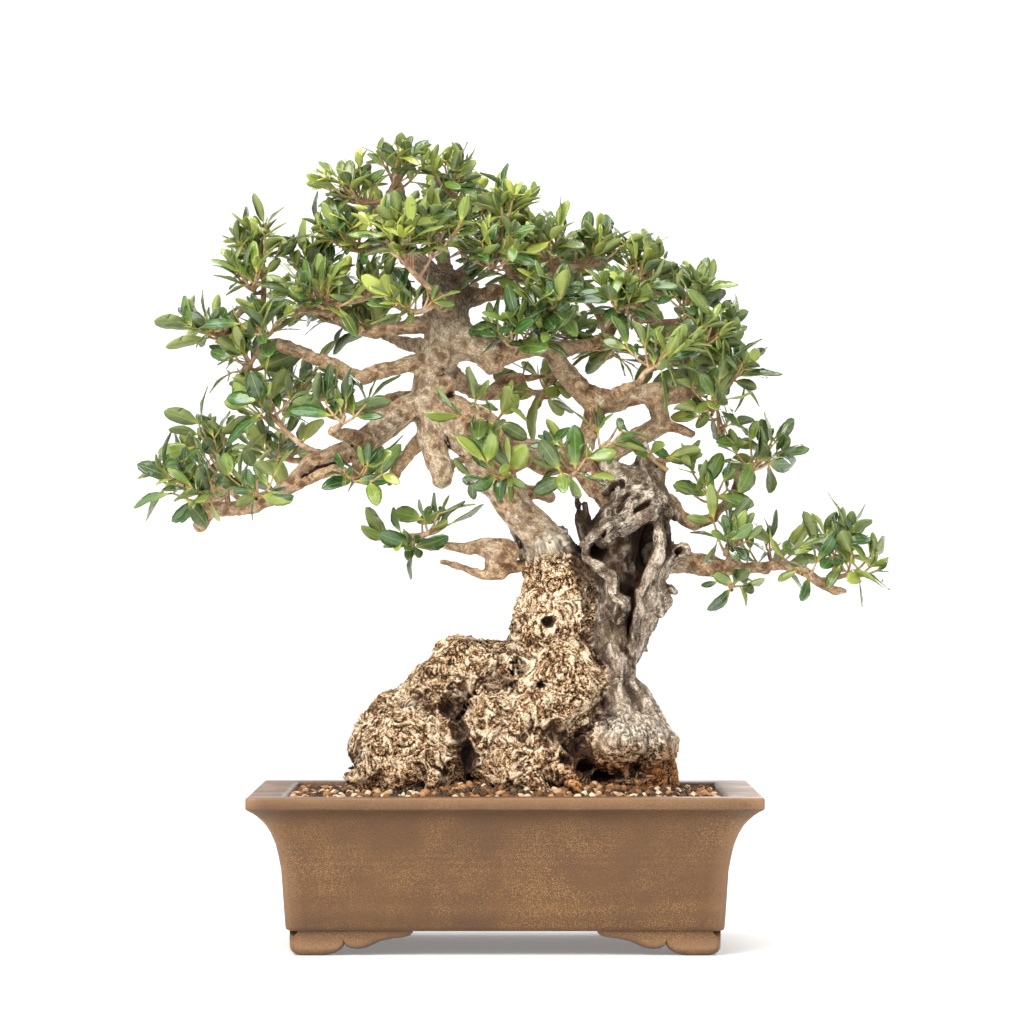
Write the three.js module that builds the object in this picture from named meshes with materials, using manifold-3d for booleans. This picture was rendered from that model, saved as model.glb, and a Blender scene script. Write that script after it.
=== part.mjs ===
// Olive bonsai: an old wild olive with a burled base, a hollow dead trunk beside the live one and a
// clipped crown of leafy sprays, planted in an unglazed rectangular pot on four cloud feet.
// Millimetres, +Z up, and the feet stand on Z = 0. Sizes below are measured from under the pot's middle.

import * as THREE from "three";
import { mergeVertices } from "three/addons/utils/BufferGeometryUtils.js";
import Module from "manifold-3d";

const wasm = await Module();
wasm.setup();

// ---------------------------------------------------------------------------------- driving sizes

const GAP = 0.35; // between two pieces that touch

const POT = {
  halfWidth: 150,
  halfDepth: 114,
  footHeight: 14.3,
  floorTop: 24,
  cornerRadius: 5,
  cornerShare: 0.35, // of the inset, where that is larger
  cornerSteps: 2,
};
// The wall, as inset from the rim's outer edge and height: up the outside, over the rim, down inside.
const POT_WALL = [
  [24, 14.3], [22.4, 16.6], [20.6, 40], [18.5, 58], [14.2, 72], [9.5, 79], [2.6, 84.8], [0, 87],
  [0, 92], [1.2, 93], [20, 93], [21.4, 91.6], [22.5, 84], [26, 72], [30, 52], [34, 24],
];
const FOOT = { along: 72, across: 50, thick: 20, inset: 24.5 };
const CLOUD = { heel: 6, lobe: 31, notch: 7.5, small: 4, smallEnd: 53, tail: 9, tip: 68, sunk: 2 };
const DRAIN = { radius: 11, spacing: 118, sides: 12, through: 30 };
const SCREEN = { side: 36, thick: 1.4, holes: 3, pitch: 10, hole: 7 };
const SOIL = { edge: 88.5, mound: 10, reach: 120, columns: 12, rows: 9, inset: 18, grain: 1.5, scale: 0.36 };

// Bark relief: its depth as a share of a limb's radius and its scale per millimetre.
const BARK = { depth: 0.09, scale: 0.13, girth: 9, eggDepth: 0.1, eggScale: 0.1, baseScale: 0.11 };
// Sides of a limb by its thickest radius, and how far its end is drawn out, as a share of its radius.
const LIMB = { trunkRadius: 14, trunkSides: 9, branchRadius: 7, branchSides: 6, twigSides: 4, point: 0.35 };

const LEAF = { length: 22, shortest: 18, longest: 25, vary: 0.1, halfWidth: 4.5, halfThick: 0.42, arch: 0.1 };
// Radii of a shoot, how far along the first one the others leave it (in mm and as a share), and where
// its leafy part runs, as shares of the pad's reach before and past the pad's middle.
const SHOOT = { stem: 1.9, twig: 1.3, end: 0.9, fork: 11, forkShare: 0.35, before: 0.6, past: 0.3 };
// Pads wider than these have one pair of leaves more, and leaves start this far from the shoot's end.
const PAIRS = { smallPad: 17, widePad: 25, first: 0.08, spread: 0.85, stagger: 0.12, forward: 0.45 };
// How much a pad faces away from the crown's heart and up, and its leaves more up still.
const FACING = { heart: new THREE.Vector3(-10, 0, 330), away: 0.6, up: 0.35, leafUp: 0.6 };
const CLEAR = { tries: 6, bend: 0.4 }; // turns that a leaf gets to lie clear, each bent further
const SEED = 709;

const COLOURS = {
  clay: 0x85674e,
  soil: 0xa5865f,
  screen: 0x2b2d2e,
  bark: 0xb09a78,
  leaf: 0x5f7a35,
};

// The live wood: each limb is a row of points [x, y, z, radius] from its root to its end.
const LIMBS = {
  neck: [[26, 0, 95, 36], [24, -3, 152, 30], [27, -5, 176, 26.5], [32, -3, 215, 21.5],
    [28, -2, 229, 18.5], [23, -2, 239, 14]],
  trunk: [[28, -2, 229, 15], [21, -3, 242, 12.5], [3, -5, 266, 10.3], [-5, -6, 279, 10.6],
    [-13, -6, 292, 11.5], [-44, -2, 326, 12], [-45, -2, 337, 11.5], [-36, -2, 363, 12.5],
    [-35, -2, 377, 13], [-36, -2, 388, 12], [-37, 0, 398, 8]],
  left_main: [[-45, -3, 325, 9], [-58, -7, 321, 8], [-93, -16, 295, 7], [-113, -20, 288, 5.5],
    [-130, -22, 274, 5], [-152, -20, 262, 4.5], [-177, -16, 259, 5], [-182, -15, 251, 4.5]],
  left_fork: [[-85, -18, 295, 4.5], [-91, -26, 281, 4], [-111, -30, 281, 3], [-128, -24, 272, 3]],
  left_mid: [[-46, -4, 350, 6], [-86, -14, 339, 4.3], [-114, -16, 351, 4.2], [-144, -10, 360, 3]],
  left_high: [[-40, -3, 371, 6], [-84, -10, 367, 3], [-96, -12, 370, 2.2], [-106, -12, 378, 2],
    [-135, -12, 377, 1.8], [-155, -10, 382, 1.3]],
  left_back: [[-47, 6, 329, 6], [-94, 33, 322, 4], [-108, 40, 329, 3], [-122, 46, 326, 2.2]],
  crown_left: [[-39, -2, 392, 9], [-46, -3, 403, 7], [-56, -4, 412, 6.5], [-64, -4, 432, 4.5],
    [-80, -4, 444, 2.2]],
  crown_mid: [[-36, 2, 392, 8], [-39, 8, 424, 3.5], [-30, 10, 446, 2]],
  crown_right: [[-33, 0, 391, 8], [-25, -2, 402, 5], [-14, -10, 416, 2.6]],
  right_high: [[-32, 2, 386, 8], [-4, 4, 391, 4.2], [9, 2, 391, 3], [30, 0, 403, 1.6]],
  right_main: [[-34, -2, 366, 11], [-8, -9, 356, 8.5], [5, -11, 355, 6.3], [16, -12, 357, 5],
    [27, -13, 355, 5.2], [43, -12, 334, 6], [53, -11, 327, 7], [64, -10, 325, 7.2], [88, -6, 330, 6.2],
    [100, -5, 329, 5.5], [120, -4, 333, 3]],
  right_knob: [[-16, -8, 358, 6], [-9, -13, 347, 6], [-5, -15, 346, 4]],
  right_rise: [[27, -12, 356, 4.5], [54, 3, 360, 3.4], [67, 7, 373, 3], [93, 8, 373, 1.8]],
  vein: [[74, 24, 95, 24], [76, 22, 115, 20], [80, 16, 137, 14], [82, 12, 167, 10], [88, 8, 227, 10],
    [91, 9, 248, 9], [86, 10, 261, 8], [75, 10, 268, 8], [64, 4, 266, 7.5]],
  right_arch: [[70, 6, 261, 8], [50, -4, 279, 6.3], [46, -6, 290, 6], [55, -11, 325, 6]],
  back_bridge: [[-18, 2, 299, 9], [0, 14, 297, 8], [18, 20, 295, 8], [34, 18, 292, 8], [48, 6, 287, 7]],
  right_loop: [[51, 2, 279, 7], [68, -2, 297, 5.5], [93, -6, 313, 5.5], [89, -6, 328, 6]],
  right_stub: [[88, -5, 308, 4.5], [97, -6, 310, 3.6], [111, -8, 306, 2.6]],
  low_right: [[88, 8, 233, 9], [135, -5, 225, 4.6], [164, -6, 227, 3], [176, -6, 225, 2.6],
    [194, -5, 213, 2.4], [204, -4, 212, 1.5]],
  low_right_knob: [[136, -5, 227, 4.5], [139, -9, 242, 4]],
  low_right_upper: [[88, 8, 264, 7], [98, 4, 265, 5], [113, -1, 252, 3.6], [123, -2, 255, 3.6],
    [138, -2, 267, 4.2], [145, -3, 264, 3.2]],
  low_right_rise: [[138, -2, 267, 3], [141, 2, 284, 1.5]],
  stub_down: [[-46, -6, 319, 8], [-45, -10, 307, 7], [-38, -15, 284, 7.2], [-38, -15, 279, 6]],
  fork_down: [[-42, -2, 309, 6], [-59, 11, 293, 4.2], [-70, 17, 276, 2]],
  sling: [[-39, -14, 284, 3], [-16, -14, 292, 2.6], [-8, -10, 289, 2.4]],
  centre_band: [[-41, -8, 324, 8], [-15, -17, 316, 5], [25, -24, 283, 3], [50, -28, 285, 1.6]],
  centre_back: [[-36, 2, 342, 9], [-24, 12, 335, 5.5], [-13, 18, 331, 5], [5, 27, 340, 4],
    [31, 38, 343, 1.2]],
  behind_stub: [[0, 4, 275, 6], [27, 16, 268, 3.2]],
  low_left: [[21, -4, 229, 5], [8, -8, 227, 3.2], [-14, -11, 221, 2.6], [-38, -11, 229, 1.2]],
  low_left_knob: [[-3, -10, 222, 3.2], [-6, -11, 228, 5.5], [2, -12, 235, 6.5], [-35, -10, 239, 2.2],
    [-59, -6, 244, 1.2]],
  back_crown: [[-35, 8, 376, 8], [-23, 60, 389, 3.6], [-19, 82, 399, 2.4]],
  back_left: [[-39, 8, 355, 8], [-49, 34, 359, 5], [-77, 84, 370, 2.4]],
  back_right: [[28, -8, 355, 5], [37, 20, 357, 4.6], [62, 76, 368, 2.4]],
  back_low_left: [[-92, -10, 295, 6], [-101, 18, 292, 4.4], [-126, 64, 291, 2]],
  front_crown: [[-35, -10, 379, 7], [-43, -56, 390, 3]],
  front_right: [[64, -14, 325, 5], [79, -54, 335, 2.4]],
  front_left: [[-83, -18, 302, 5], [-103, -54, 306, 2.2]],
};

// The dead wood: the hollow shell of the second trunk, its broken peaks and its dry spikes.
const DEAD_LIMBS = {
  web: [[50, 3, 110, 18], [51, 3, 160, 14], [53, 3, 200, 12], [53, 3, 238, 9]],
  shell: [[78, -4, 95, 26], [76, -6, 124, 22], [71, -6, 142, 18], [66, -6, 160, 14.5],
    [67, -7, 176, 14.5], [70, -8, 193, 17.5], [73, -8, 211, 20.5], [72, -7, 227, 23],
    [72, -6, 241, 23.5], [78, -4, 253, 19], [82, -3, 265, 16], [81, -3, 275, 12]],
  peak_right: [[82, -4, 273, 10], [84, -4, 284, 7], [84, -4, 293, 4]],
  peak_left: [[78, -4, 271, 11], [69, -5, 279, 8.5], [59, -5, 287, 6]],
  spike_left: [[54, -8, 235, 6], [48, -8, 245, 5], [45, -8, 257, 3], [43, -8, 268, 1.4]],
  spike_right: [[53, -6, 242, 4], [50, -6, 253, 2.6], [47, -6, 263, 1.4]],
  ring_stub: [[94, -10, 230, 7], [101, -16, 234, 6], [106, -20, 236, 5]],
};

// Burls of the base: [x, y, z, reach in x, reach in y, reach in z].
const BURLS = {
  front_left: [-54, -28, 113, 31, 28, 31],
  left_back: [-59, 12, 119, 33, 30, 34],
  toe_left: [-82, -14, 96, 15, 18, 13],
  shoulder_left: [-39, 2, 145, 24, 32, 25],
  shoulder_top: [-14, -2, 161, 26, 30, 23],
  shoulder_corner: [-28, -6, 172, 12, 14, 12],
  centre_left: [-2, -32, 123, 24, 26, 32],
  centre: [36, -20, 153, 26, 26, 30],
  low: [18, -44, 105, 24, 18, 18],
  low_right: [70, -16, 122, 31, 32, 20],
  knob_right: [93, -8, 112, 9, 9, 9],
  back_left: [-31, 30, 118, 38, 28, 36],
  back_mid: [15, 34, 124, 40, 30, 42],
  back_right: [58, 26, 120, 36, 28, 32],
};

// The skin round the burls: its axis, its heights and how finely it is stepped.
const BASE = { x: 8, y: 2, low: 81, high: 184, levels: 12, sides: 24, core: 14, relief: 3.6 };

// Hollows of the dead trunk, each cut as a limb or as an egg.
const HOLLOW_EGGS = {
  mouth: [69, -24, 234, 15, 17, 17],
  throat: [79, -14, 237, 11, 18, 14],
};
const HOLLOW_SLOT = [[76, -18, 226, 7], [76, -20, 203, 4.2], [74, -20, 183, 3.2], [73, -20, 163, 2]];

// Foliage: each spray leaves a limb at `from` and fills egg-shaped pads [x, y, z, reaches x, y, z].
const SPRAYS = {
  crown_top: { from: [-72, -4, 438], pads: [[-63, -6, 466, 19, 17, 14], [-92, -10, 451, 20, 18, 15]] },
  crown_peak: { from: [-30, 10, 445], pads: [[-33, 4, 461, 20, 20, 16]] },
  crown_left: { from: [-61, -5, 421], pads: [[-97, -18, 423, 19, 20, 15]] },
  crown_front: { from: [-43, -54, 389], pads: [[-63, -62, 418, 22, 18, 18], [-39, -48, 424, 22, 18, 18]] },
  crown_right: { from: [-14, -10, 414], pads: [[2, -4, 439, 20, 20, 17], [-8, -38, 409, 22, 18, 17]] },
  crown_back: { from: [-19, 80, 398], pads: [[-31, 66, 444, 28, 24, 18], [-3, 88, 425, 24, 20, 17]] },
  crown_back_left: { from: [-23, 60, 389], pads: [[-68, 62, 437, 26, 24, 18]] },
  right_high: { from: [30, 0, 403], pads: [[24, -10, 416, 19, 20, 16], [57, 12, 416, 20, 20, 15]] },
  right_high_front: { from: [9, 2, 391], pads: [[28, -42, 383, 22, 18, 12]] },
  right_high_back: { from: [62, 76, 368], pads: [[33, 72, 410, 28, 22, 18], [80, 74, 395, 26, 24, 18]] },
  right_upper: { from: [81, 8, 375], pads: [[81, 12, 406, 17, 18, 14], [69, -24, 386, 21, 16, 12]] },
  right_far_top: { from: [93, 8, 373], pads: [[112, 4, 389, 18, 20, 14], [121, -14, 365, 20, 20, 16]] },
  right_far: { from: [120, -4, 333], pads: [[133, -4, 345, 21, 22, 15], [123, -18, 323, 20, 18, 14]] },
  right_far_back: { from: [111, -4, 331], pads: [[108, 52, 358, 26, 24, 16]] },
  right_front: { from: [79, -54, 335], pads: [[90, -46, 351, 22, 18, 12]] },
  right_tuft: { from: [78, -4, 303], pads: [[97, -14, 289, 14, 14, 12]] },
  left_high_far: { from: [-145, -11, 380],
    pads: [[-145, -14, 418, 17, 18, 14], [-151, -28, 399, 18, 16, 11]] },
  left_high_in: { from: [-106, -12, 378], pads: [[-112, 2, 407, 17, 20, 12], [-109, -34, 387, 22, 16, 11]] },
  left_high_tip: { from: [-155, -10, 382], pads: [[-173, -4, 366, 18, 18, 13]] },
  left_mid: { from: [-144, -10, 360], pads: [[-141, -34, 370, 20, 16, 12], [-155, -6, 350, 18, 20, 15]] },
  left_low: { from: [-103, -18, 291], pads: [[-141, -20, 324, 20, 18, 14]] },
  left_low_front: { from: [-103, -54, 306], pads: [[-95, -46, 320, 22, 16, 11]] },
  left_far: { from: [-165, -18, 261], pads: [[-173, -12, 301, 17, 18, 15], [-196, -18, 280, 21, 18, 12],
    [-179, -42, 270, 20, 16, 11]] },
  left_far_front: { from: [-140, -22, 267], pads: [[-147, -50, 273, 19, 16, 15]] },
  left_far_back: { from: [-152, -20, 262], pads: [[-176, 32, 286, 24, 20, 14]] },
  left_under: { from: [-91, -26, 281], pads: [[-81, -48, 281, 18, 14, 12]] },
  left_back: { from: [-122, 46, 326], pads: [[-128, 62, 337, 26, 22, 14]] },
  left_back_low: { from: [-126, 64, 291], pads: [[-137, 74, 299, 24, 20, 13]] },
  left_back_high: { from: [-77, 84, 370], pads: [[-87, 94, 380, 26, 20, 15], [-115, 72, 391, 24, 20, 14]] },
  centre_front: { from: [-39, -34, 384], pads: [[-57, -52, 380, 20, 14, 10]] },
  centre_mid: { from: [-3, -20, 308], pads: [[-12, -52, 317, 20, 14, 13]] },
  centre_low: { from: [16, -23, 289], pads: [[-4, -54, 283, 22, 14, 12]] },
  centre_tip: { from: [50, -28, 285], pads: [[36, -50, 287, 20, 14, 18]] },
  centre_right: { from: [5, -11, 355], pads: [[9, -42, 365, 22, 14, 11]] },
  centre_back: { from: [31, 38, 343], pads: [[21, 48, 333, 22, 18, 14]] },
  low_left: { from: [-59, -6, 244], pads: [[-40, -8, 254, 20, 16, 12], [-57, -22, 242, 18, 14, 11]] },
  low_right_top: { from: [141, 2, 284], pads: [[152, 2, 293, 22, 20, 15]] },
  low_right_upper: { from: [123, -2, 255], pads: [[123, -14, 273, 17, 16, 12]] },
  low_right_front: { from: [137, -8, 235], pads: [[132, -32, 245, 22, 16, 13]] },
  low_right_back: { from: [150, -6, 226], pads: [[161, 14, 236, 22, 16, 12]] },
  low_right_under: { from: [130, -4, 226], pads: [[135, -14, 216, 20, 16, 8]] },
  low_right_end: { from: [194, -5, 213], pads: [[198, -6, 241, 19, 20, 17], [211, -12, 225, 16, 16, 13],
    [177, -18, 227, 13, 12, 12]] },
};

// ------------------------------------------------------------------------------- geometry helpers

const vector = (point) => new THREE.Vector3(point[0], point[1], point[2]);
const UP = new THREE.Vector3(0, 0, 1);

/** Seeded random numbers from 0 to 1. */
function randomFrom(seed) {
  let state = seed >>> 0;
  return () => {
    state = (state + 0x6d2b79f5) >>> 0;
    let t = Math.imul(state ^ (state >>> 15), 1 | state);
    t = (t + Math.imul(t ^ (t >>> 7), 61 | t)) ^ t;
    return ((t ^ (t >>> 14)) >>> 0) / 4294967296;
  };
}

/** Smooth relief between about -1 and 1 at a point, for bark and soil. */
function relief(point, scale) {
  const [x, y, z] = [point.x * scale, point.y * scale, point.z * scale];
  const warp = Math.sin(1.7 * y + 0.9 * z) + Math.sin(1.3 * z - 1.1 * x);
  return (Math.sin(2.1 * x + warp) + Math.sin(1.9 * y - warp) + Math.sin(2.3 * z + 0.7 * warp)) / 3;
}

/** One closed surface through rings of points, closed at each end by a fan to one point. */
function skin(start, rings, end) {
  const count = rings[0].length;
  const points = [start, ...rings.flat(), end];
  const last = points.length - 1;
  const at = (ring, i) => 1 + ring * count + (i % count);
  const index = [];
  for (let i = 0; i < count; i += 1) {
    index.push(0, at(0, i + 1), at(0, i));
    for (let ring = 0; ring + 1 < rings.length; ring += 1) {
      index.push(at(ring, i), at(ring, i + 1), at(ring + 1, i + 1));
      index.push(at(ring, i), at(ring + 1, i + 1), at(ring + 1, i));
    }
    index.push(last, at(rings.length - 1, i), at(rings.length - 1, i + 1));
  }
  const geometry = new THREE.BufferGeometry().setFromPoints(points);
  geometry.setIndex(index);
  return geometry;
}

/** A closed geometry as a solid that can be joined and cut. */
function solid(geometry) {
  const bare = geometry.clone();
  bare.deleteAttribute("normal");
  bare.deleteAttribute("uv");
  const merged = mergeVertices(bare, 1e-4);
  const made = new wasm.Manifold(
    new wasm.Mesh({
      numProp: 3,
      vertProperties: new Float32Array(merged.attributes.position.array),
      triVerts: new Uint32Array(merged.index.array),
    }),
  );
  if (made.volume() <= 0) throw new Error("a solid is inside out");
  return made;
}

/** All the solids joined in one, worked out at once and with the steps on the way let go. */
function joined(solids) {
  return solids.reduce((whole, piece) => {
    const sum = whole.add(piece);
    sum.numTri();
    whole.delete();
    piece.delete();
    return sum;
  });
}

/** Whether two solids share any room. */
function crosses(one, other) {
  const [a, b] = [one.boundingBox(), other.boundingBox()];
  if ([0, 1, 2].some((k) => a.max[k] < b.min[k] || b.max[k] < a.min[k])) return false;
  const common = one.intersect(other);
  const shared = common.volume() > 0;
  common.delete();
  return shared;
}

/** The largest body of a solid, without the scraps that a cut may leave. */
function largest(whole) {
  return whole.decompose().sort((a, b) => b.volume() - a.volume())[0];
}

/** A named mesh of a solid in one colour. */
function meshOf(name, shape, colour, roughness) {
  const { vertProperties, numProp, triVerts } = shape.getMesh();
  const positions = new Float32Array((vertProperties.length / numProp) * 3);
  for (let i = 0; i * numProp < vertProperties.length; i += 1)
    positions.set(vertProperties.subarray(i * numProp, i * numProp + 3), i * 3);
  const geometry = new THREE.BufferGeometry();
  geometry.setAttribute("position", new THREE.BufferAttribute(positions, 3));
  geometry.setIndex(new THREE.BufferAttribute(triVerts, 1));
  geometry.computeVertexNormals();
  const material = new THREE.MeshStandardMaterial({ color: colour, roughness, metalness: 0 });
  const mesh = new THREE.Mesh(geometry, material);
  mesh.name = name;
  return mesh;
}

/** A round limb through [x, y, z, radius] points, `grow` thicker all round, with uneven bark. */
function limb(points, sides, grow = 0, bark = BARK.depth) {
  const places = points.map(vector);
  let side = new THREE.Vector3(0, 1, 0);
  const rings = places.map((place, i) => {
    const before = places[Math.max(i - 1, 0)];
    const after = places[Math.min(i + 1, places.length - 1)];
    const along = after.clone().sub(before).normalize();
    side = side.clone().addScaledVector(along, -side.dot(along)).normalize();
    const across = along.clone().cross(side);
    return Array.from({ length: sides }, (_, k) => {
      const angle = (2 * Math.PI * k) / sides;
      const out = side.clone().multiplyScalar(Math.cos(angle)).addScaledVector(across, Math.sin(angle));
      const onBark = place.clone().addScaledVector(out, BARK.girth);
      const radius = points[i][3] * (1 + bark * relief(onBark, BARK.scale)) + grow;
      return place.clone().addScaledVector(out, radius);
    });
  });
  const first = places[0].clone().add(places[0].clone().sub(places[1]).setLength(grow + 0.01));
  const drawnOut = points.at(-1)[3] * LIMB.point + grow;
  const last = places.at(-1).clone().add(places.at(-1).clone().sub(places.at(-2)).setLength(drawnOut));
  return solid(skin(first, rings, last));
}

/** A gnarled egg: [x, y, z, reach x, reach y, reach z], `grow` larger all round. */
function egg(sizes, detail, grow = 0) {
  const geometry = new THREE.IcosahedronGeometry(1, detail);
  const centre = vector(sizes);
  const positions = geometry.getAttribute("position");
  for (let i = 0; i < positions.count; i += 1) {
    const out = new THREE.Vector3().fromBufferAttribute(positions, i);
    const place = new THREE.Vector3(sizes[3] + grow, sizes[4] + grow, sizes[5] + grow).multiply(out);
    const swell = 1 + BARK.eggDepth * relief(place.clone().add(centre), BARK.eggScale);
    place.multiplyScalar(swell).add(centre);
    positions.setXYZ(i, place.x, place.y, place.z);
  }
  return solid(geometry);
}

/** How far from the base's axis the burls reach at a height and an angle. */
function burlReach(angle, z) {
  const [ux, uy] = [Math.cos(angle), Math.sin(angle)];
  const exits = Object.values(BURLS).map(([x, y, centreZ, a, b, c]) => {
    const level = 1 - ((z - centreZ) / c) ** 2;
    const [px, py] = [(BASE.x - x) / a, (BASE.y - y) / b];
    const [dx, dy] = [ux / a, uy / b];
    const along = px * dx + py * dy;
    const square = dx * dx + dy * dy;
    const inside = along * along - square * (px * px + py * py - level);
    return inside > 0 ? (Math.sqrt(inside) - along) / square : 0;
  });
  return Math.max(BASE.core, ...exits);
}

/** The burled base: one skin round all its burls, with knots and folds as relief. */
function burledBase(grow) {
  const { x, y, low, high, levels, sides } = BASE;
  const rings = Array.from({ length: levels }, (_, level) => {
    const z = low + ((high - low) * level) / (levels - 1);
    return Array.from({ length: sides }, (__, side) => {
      const angle = (2 * Math.PI * side) / sides;
      const reach = burlReach(angle, z);
      const place = new THREE.Vector3(x + reach * Math.cos(angle), y + reach * Math.sin(angle), z);
      const swell = 1 + (BASE.relief * relief(place, BARK.baseScale) + grow) / reach;
      return new THREE.Vector3(x + reach * swell * Math.cos(angle), y + reach * swell * Math.sin(angle), z);
    });
  });
  return solid(skin(new THREE.Vector3(x, y, low - grow), rings, new THREE.Vector3(x, y, high + grow)));
}

/** A ring of a rectangle with rounded corners, anticlockwise seen from above. */
function roundedRing(halfWidth, halfDepth, radius, z) {
  const corners = [[1, 1, 0], [-1, 1, 1], [-1, -1, 2], [1, -1, 3]];
  return corners.flatMap(([signX, signY, quarter]) =>
    Array.from({ length: POT.cornerSteps + 1 }, (_, step) => {
      const angle = (Math.PI / 2) * (quarter + step / POT.cornerSteps);
      const x = signX * (halfWidth - radius) + radius * Math.cos(angle);
      const y = signY * (halfDepth - radius) + radius * Math.sin(angle);
      return new THREE.Vector3(x, y, z);
    }),
  );
}

/** A plain block between two corners. */
function block(low, high) {
  const size = vector(high).sub(vector(low));
  const geometry = new THREE.BoxGeometry(size.x, size.y, size.z);
  const centre = vector(low).addScaledVector(size, 0.5);
  return solid(geometry.translate(centre.x, centre.y, centre.z));
}

// -------------------------------------------------------------------------------------- the pot

/** The outline of a cloud foot seen from the front: a full outer lobe, a small one, a thin tail. */
function footOutline(length) {
  const top = POT.footHeight + CLOUD.sunk;
  const share = length / FOOT.along;
  const [lobe, smallEnd, tip] = [CLOUD.lobe * share, CLOUD.smallEnd * share, CLOUD.tip * share];
  const shape = new THREE.Shape();
  shape.moveTo(0, top);
  shape.lineTo(0, CLOUD.heel);
  shape.quadraticCurveTo(0, 0, CLOUD.heel, 0);
  shape.lineTo(lobe - CLOUD.notch, 0);
  shape.quadraticCurveTo(lobe, 0, lobe, CLOUD.notch);
  shape.quadraticCurveTo(lobe, CLOUD.small, lobe + CLOUD.small * 2, CLOUD.small);
  shape.quadraticCurveTo(smallEnd, CLOUD.small, smallEnd, CLOUD.tail);
  shape.quadraticCurveTo((smallEnd + tip) / 2, CLOUD.tail, tip, (CLOUD.tail + top) / 2);
  shape.lineTo(length, top);
  shape.closePath();
  return shape;
}

/** One arm of a foot: the outline along +X from the origin, `thick` deep towards +Y. */
function footArm(length) {
  const settings = { depth: FOOT.thick, curveSegments: 2, bevelEnabled: false };
  const geometry = new THREE.ExtrudeGeometry(footOutline(length), settings);
  return geometry.rotateX(Math.PI / 2).translate(0, FOOT.thick, 0);
}

/** A corner foot with an arm along each side of the pot, mirrored to the corner by two signs. */
function foot(signX, signY) {
  const alongX = solid(footArm(FOOT.along));
  const alongY = solid(footArm(FOOT.across)).mirror([1, -1, 0]);
  const corner = alongX.add(alongY).translate([FOOT.inset - POT.halfWidth, FOOT.inset - POT.halfDepth, 0]);
  const turnedX = signX > 0 ? corner.mirror([1, 0, 0]) : corner;
  return signY > 0 ? turnedX.mirror([0, 1, 0]) : turnedX;
}

function potRings(profile, grow) {
  return profile.map(([inset, z]) => {
    const radius = Math.max(POT.cornerRadius, inset * POT.cornerShare);
    return roundedRing(POT.halfWidth - inset + grow, POT.halfDepth - inset + grow, radius, z);
  });
}

const drainCentres = [-DRAIN.spacing / 2, DRAIN.spacing / 2];

function pot() {
  const floor = new THREE.Vector3(0, 0, POT.floorTop);
  const under = new THREE.Vector3(0, 0, POT.footHeight);
  const bowl = solid(skin(under, potRings(POT_WALL, 0), floor));
  const holes = drainCentres.map((x) => {
    const hole = new THREE.CylinderGeometry(DRAIN.radius, DRAIN.radius, DRAIN.through, DRAIN.sides);
    return solid(hole.rotateX(Math.PI / 2).translate(x, 0, POT.footHeight));
  });
  const feet = [[-1, -1], [1, -1], [-1, 1], [1, 1]].map(([x, y]) => foot(x, y));
  return bowl.add(joined(feet)).subtract(joined(holes));
}

// ------------------------------------------------------------------------ drain screens and soil

function drainScreen(x) {
  const half = SCREEN.side / 2;
  const bottom = POT.floorTop + GAP;
  const plate = block([x - half, -half, bottom], [x + half, half, bottom + SCREEN.thick]);
  const first = -((SCREEN.holes - 1) * SCREEN.pitch) / 2;
  const holes = [];
  for (let i = 0; i < SCREEN.holes; i += 1)
    for (let j = 0; j < SCREEN.holes; j += 1) {
      const [u, v] = [x + first + i * SCREEN.pitch, first + j * SCREEN.pitch];
      const reach = SCREEN.hole / 2;
      const top = bottom + SCREEN.thick + 1;
      holes.push(block([u - reach, v - reach, bottom - 1], [u + reach, v + reach, top]));
    }
  return plate.subtract(joined(holes));
}

/** Height of the soil: low at the rim, mounded round the trunk, with the grains as relief. */
function soilHeight(x, y) {
  const away = Math.hypot(x - BASE.x, (y * POT.halfWidth) / POT.halfDepth) / SOIL.reach;
  const grain = relief(new THREE.Vector3(x, y, 0), SOIL.scale) * SOIL.grain;
  return SOIL.edge + SOIL.mound * Math.max(0, 1 - away * away) + grain;
}

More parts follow.
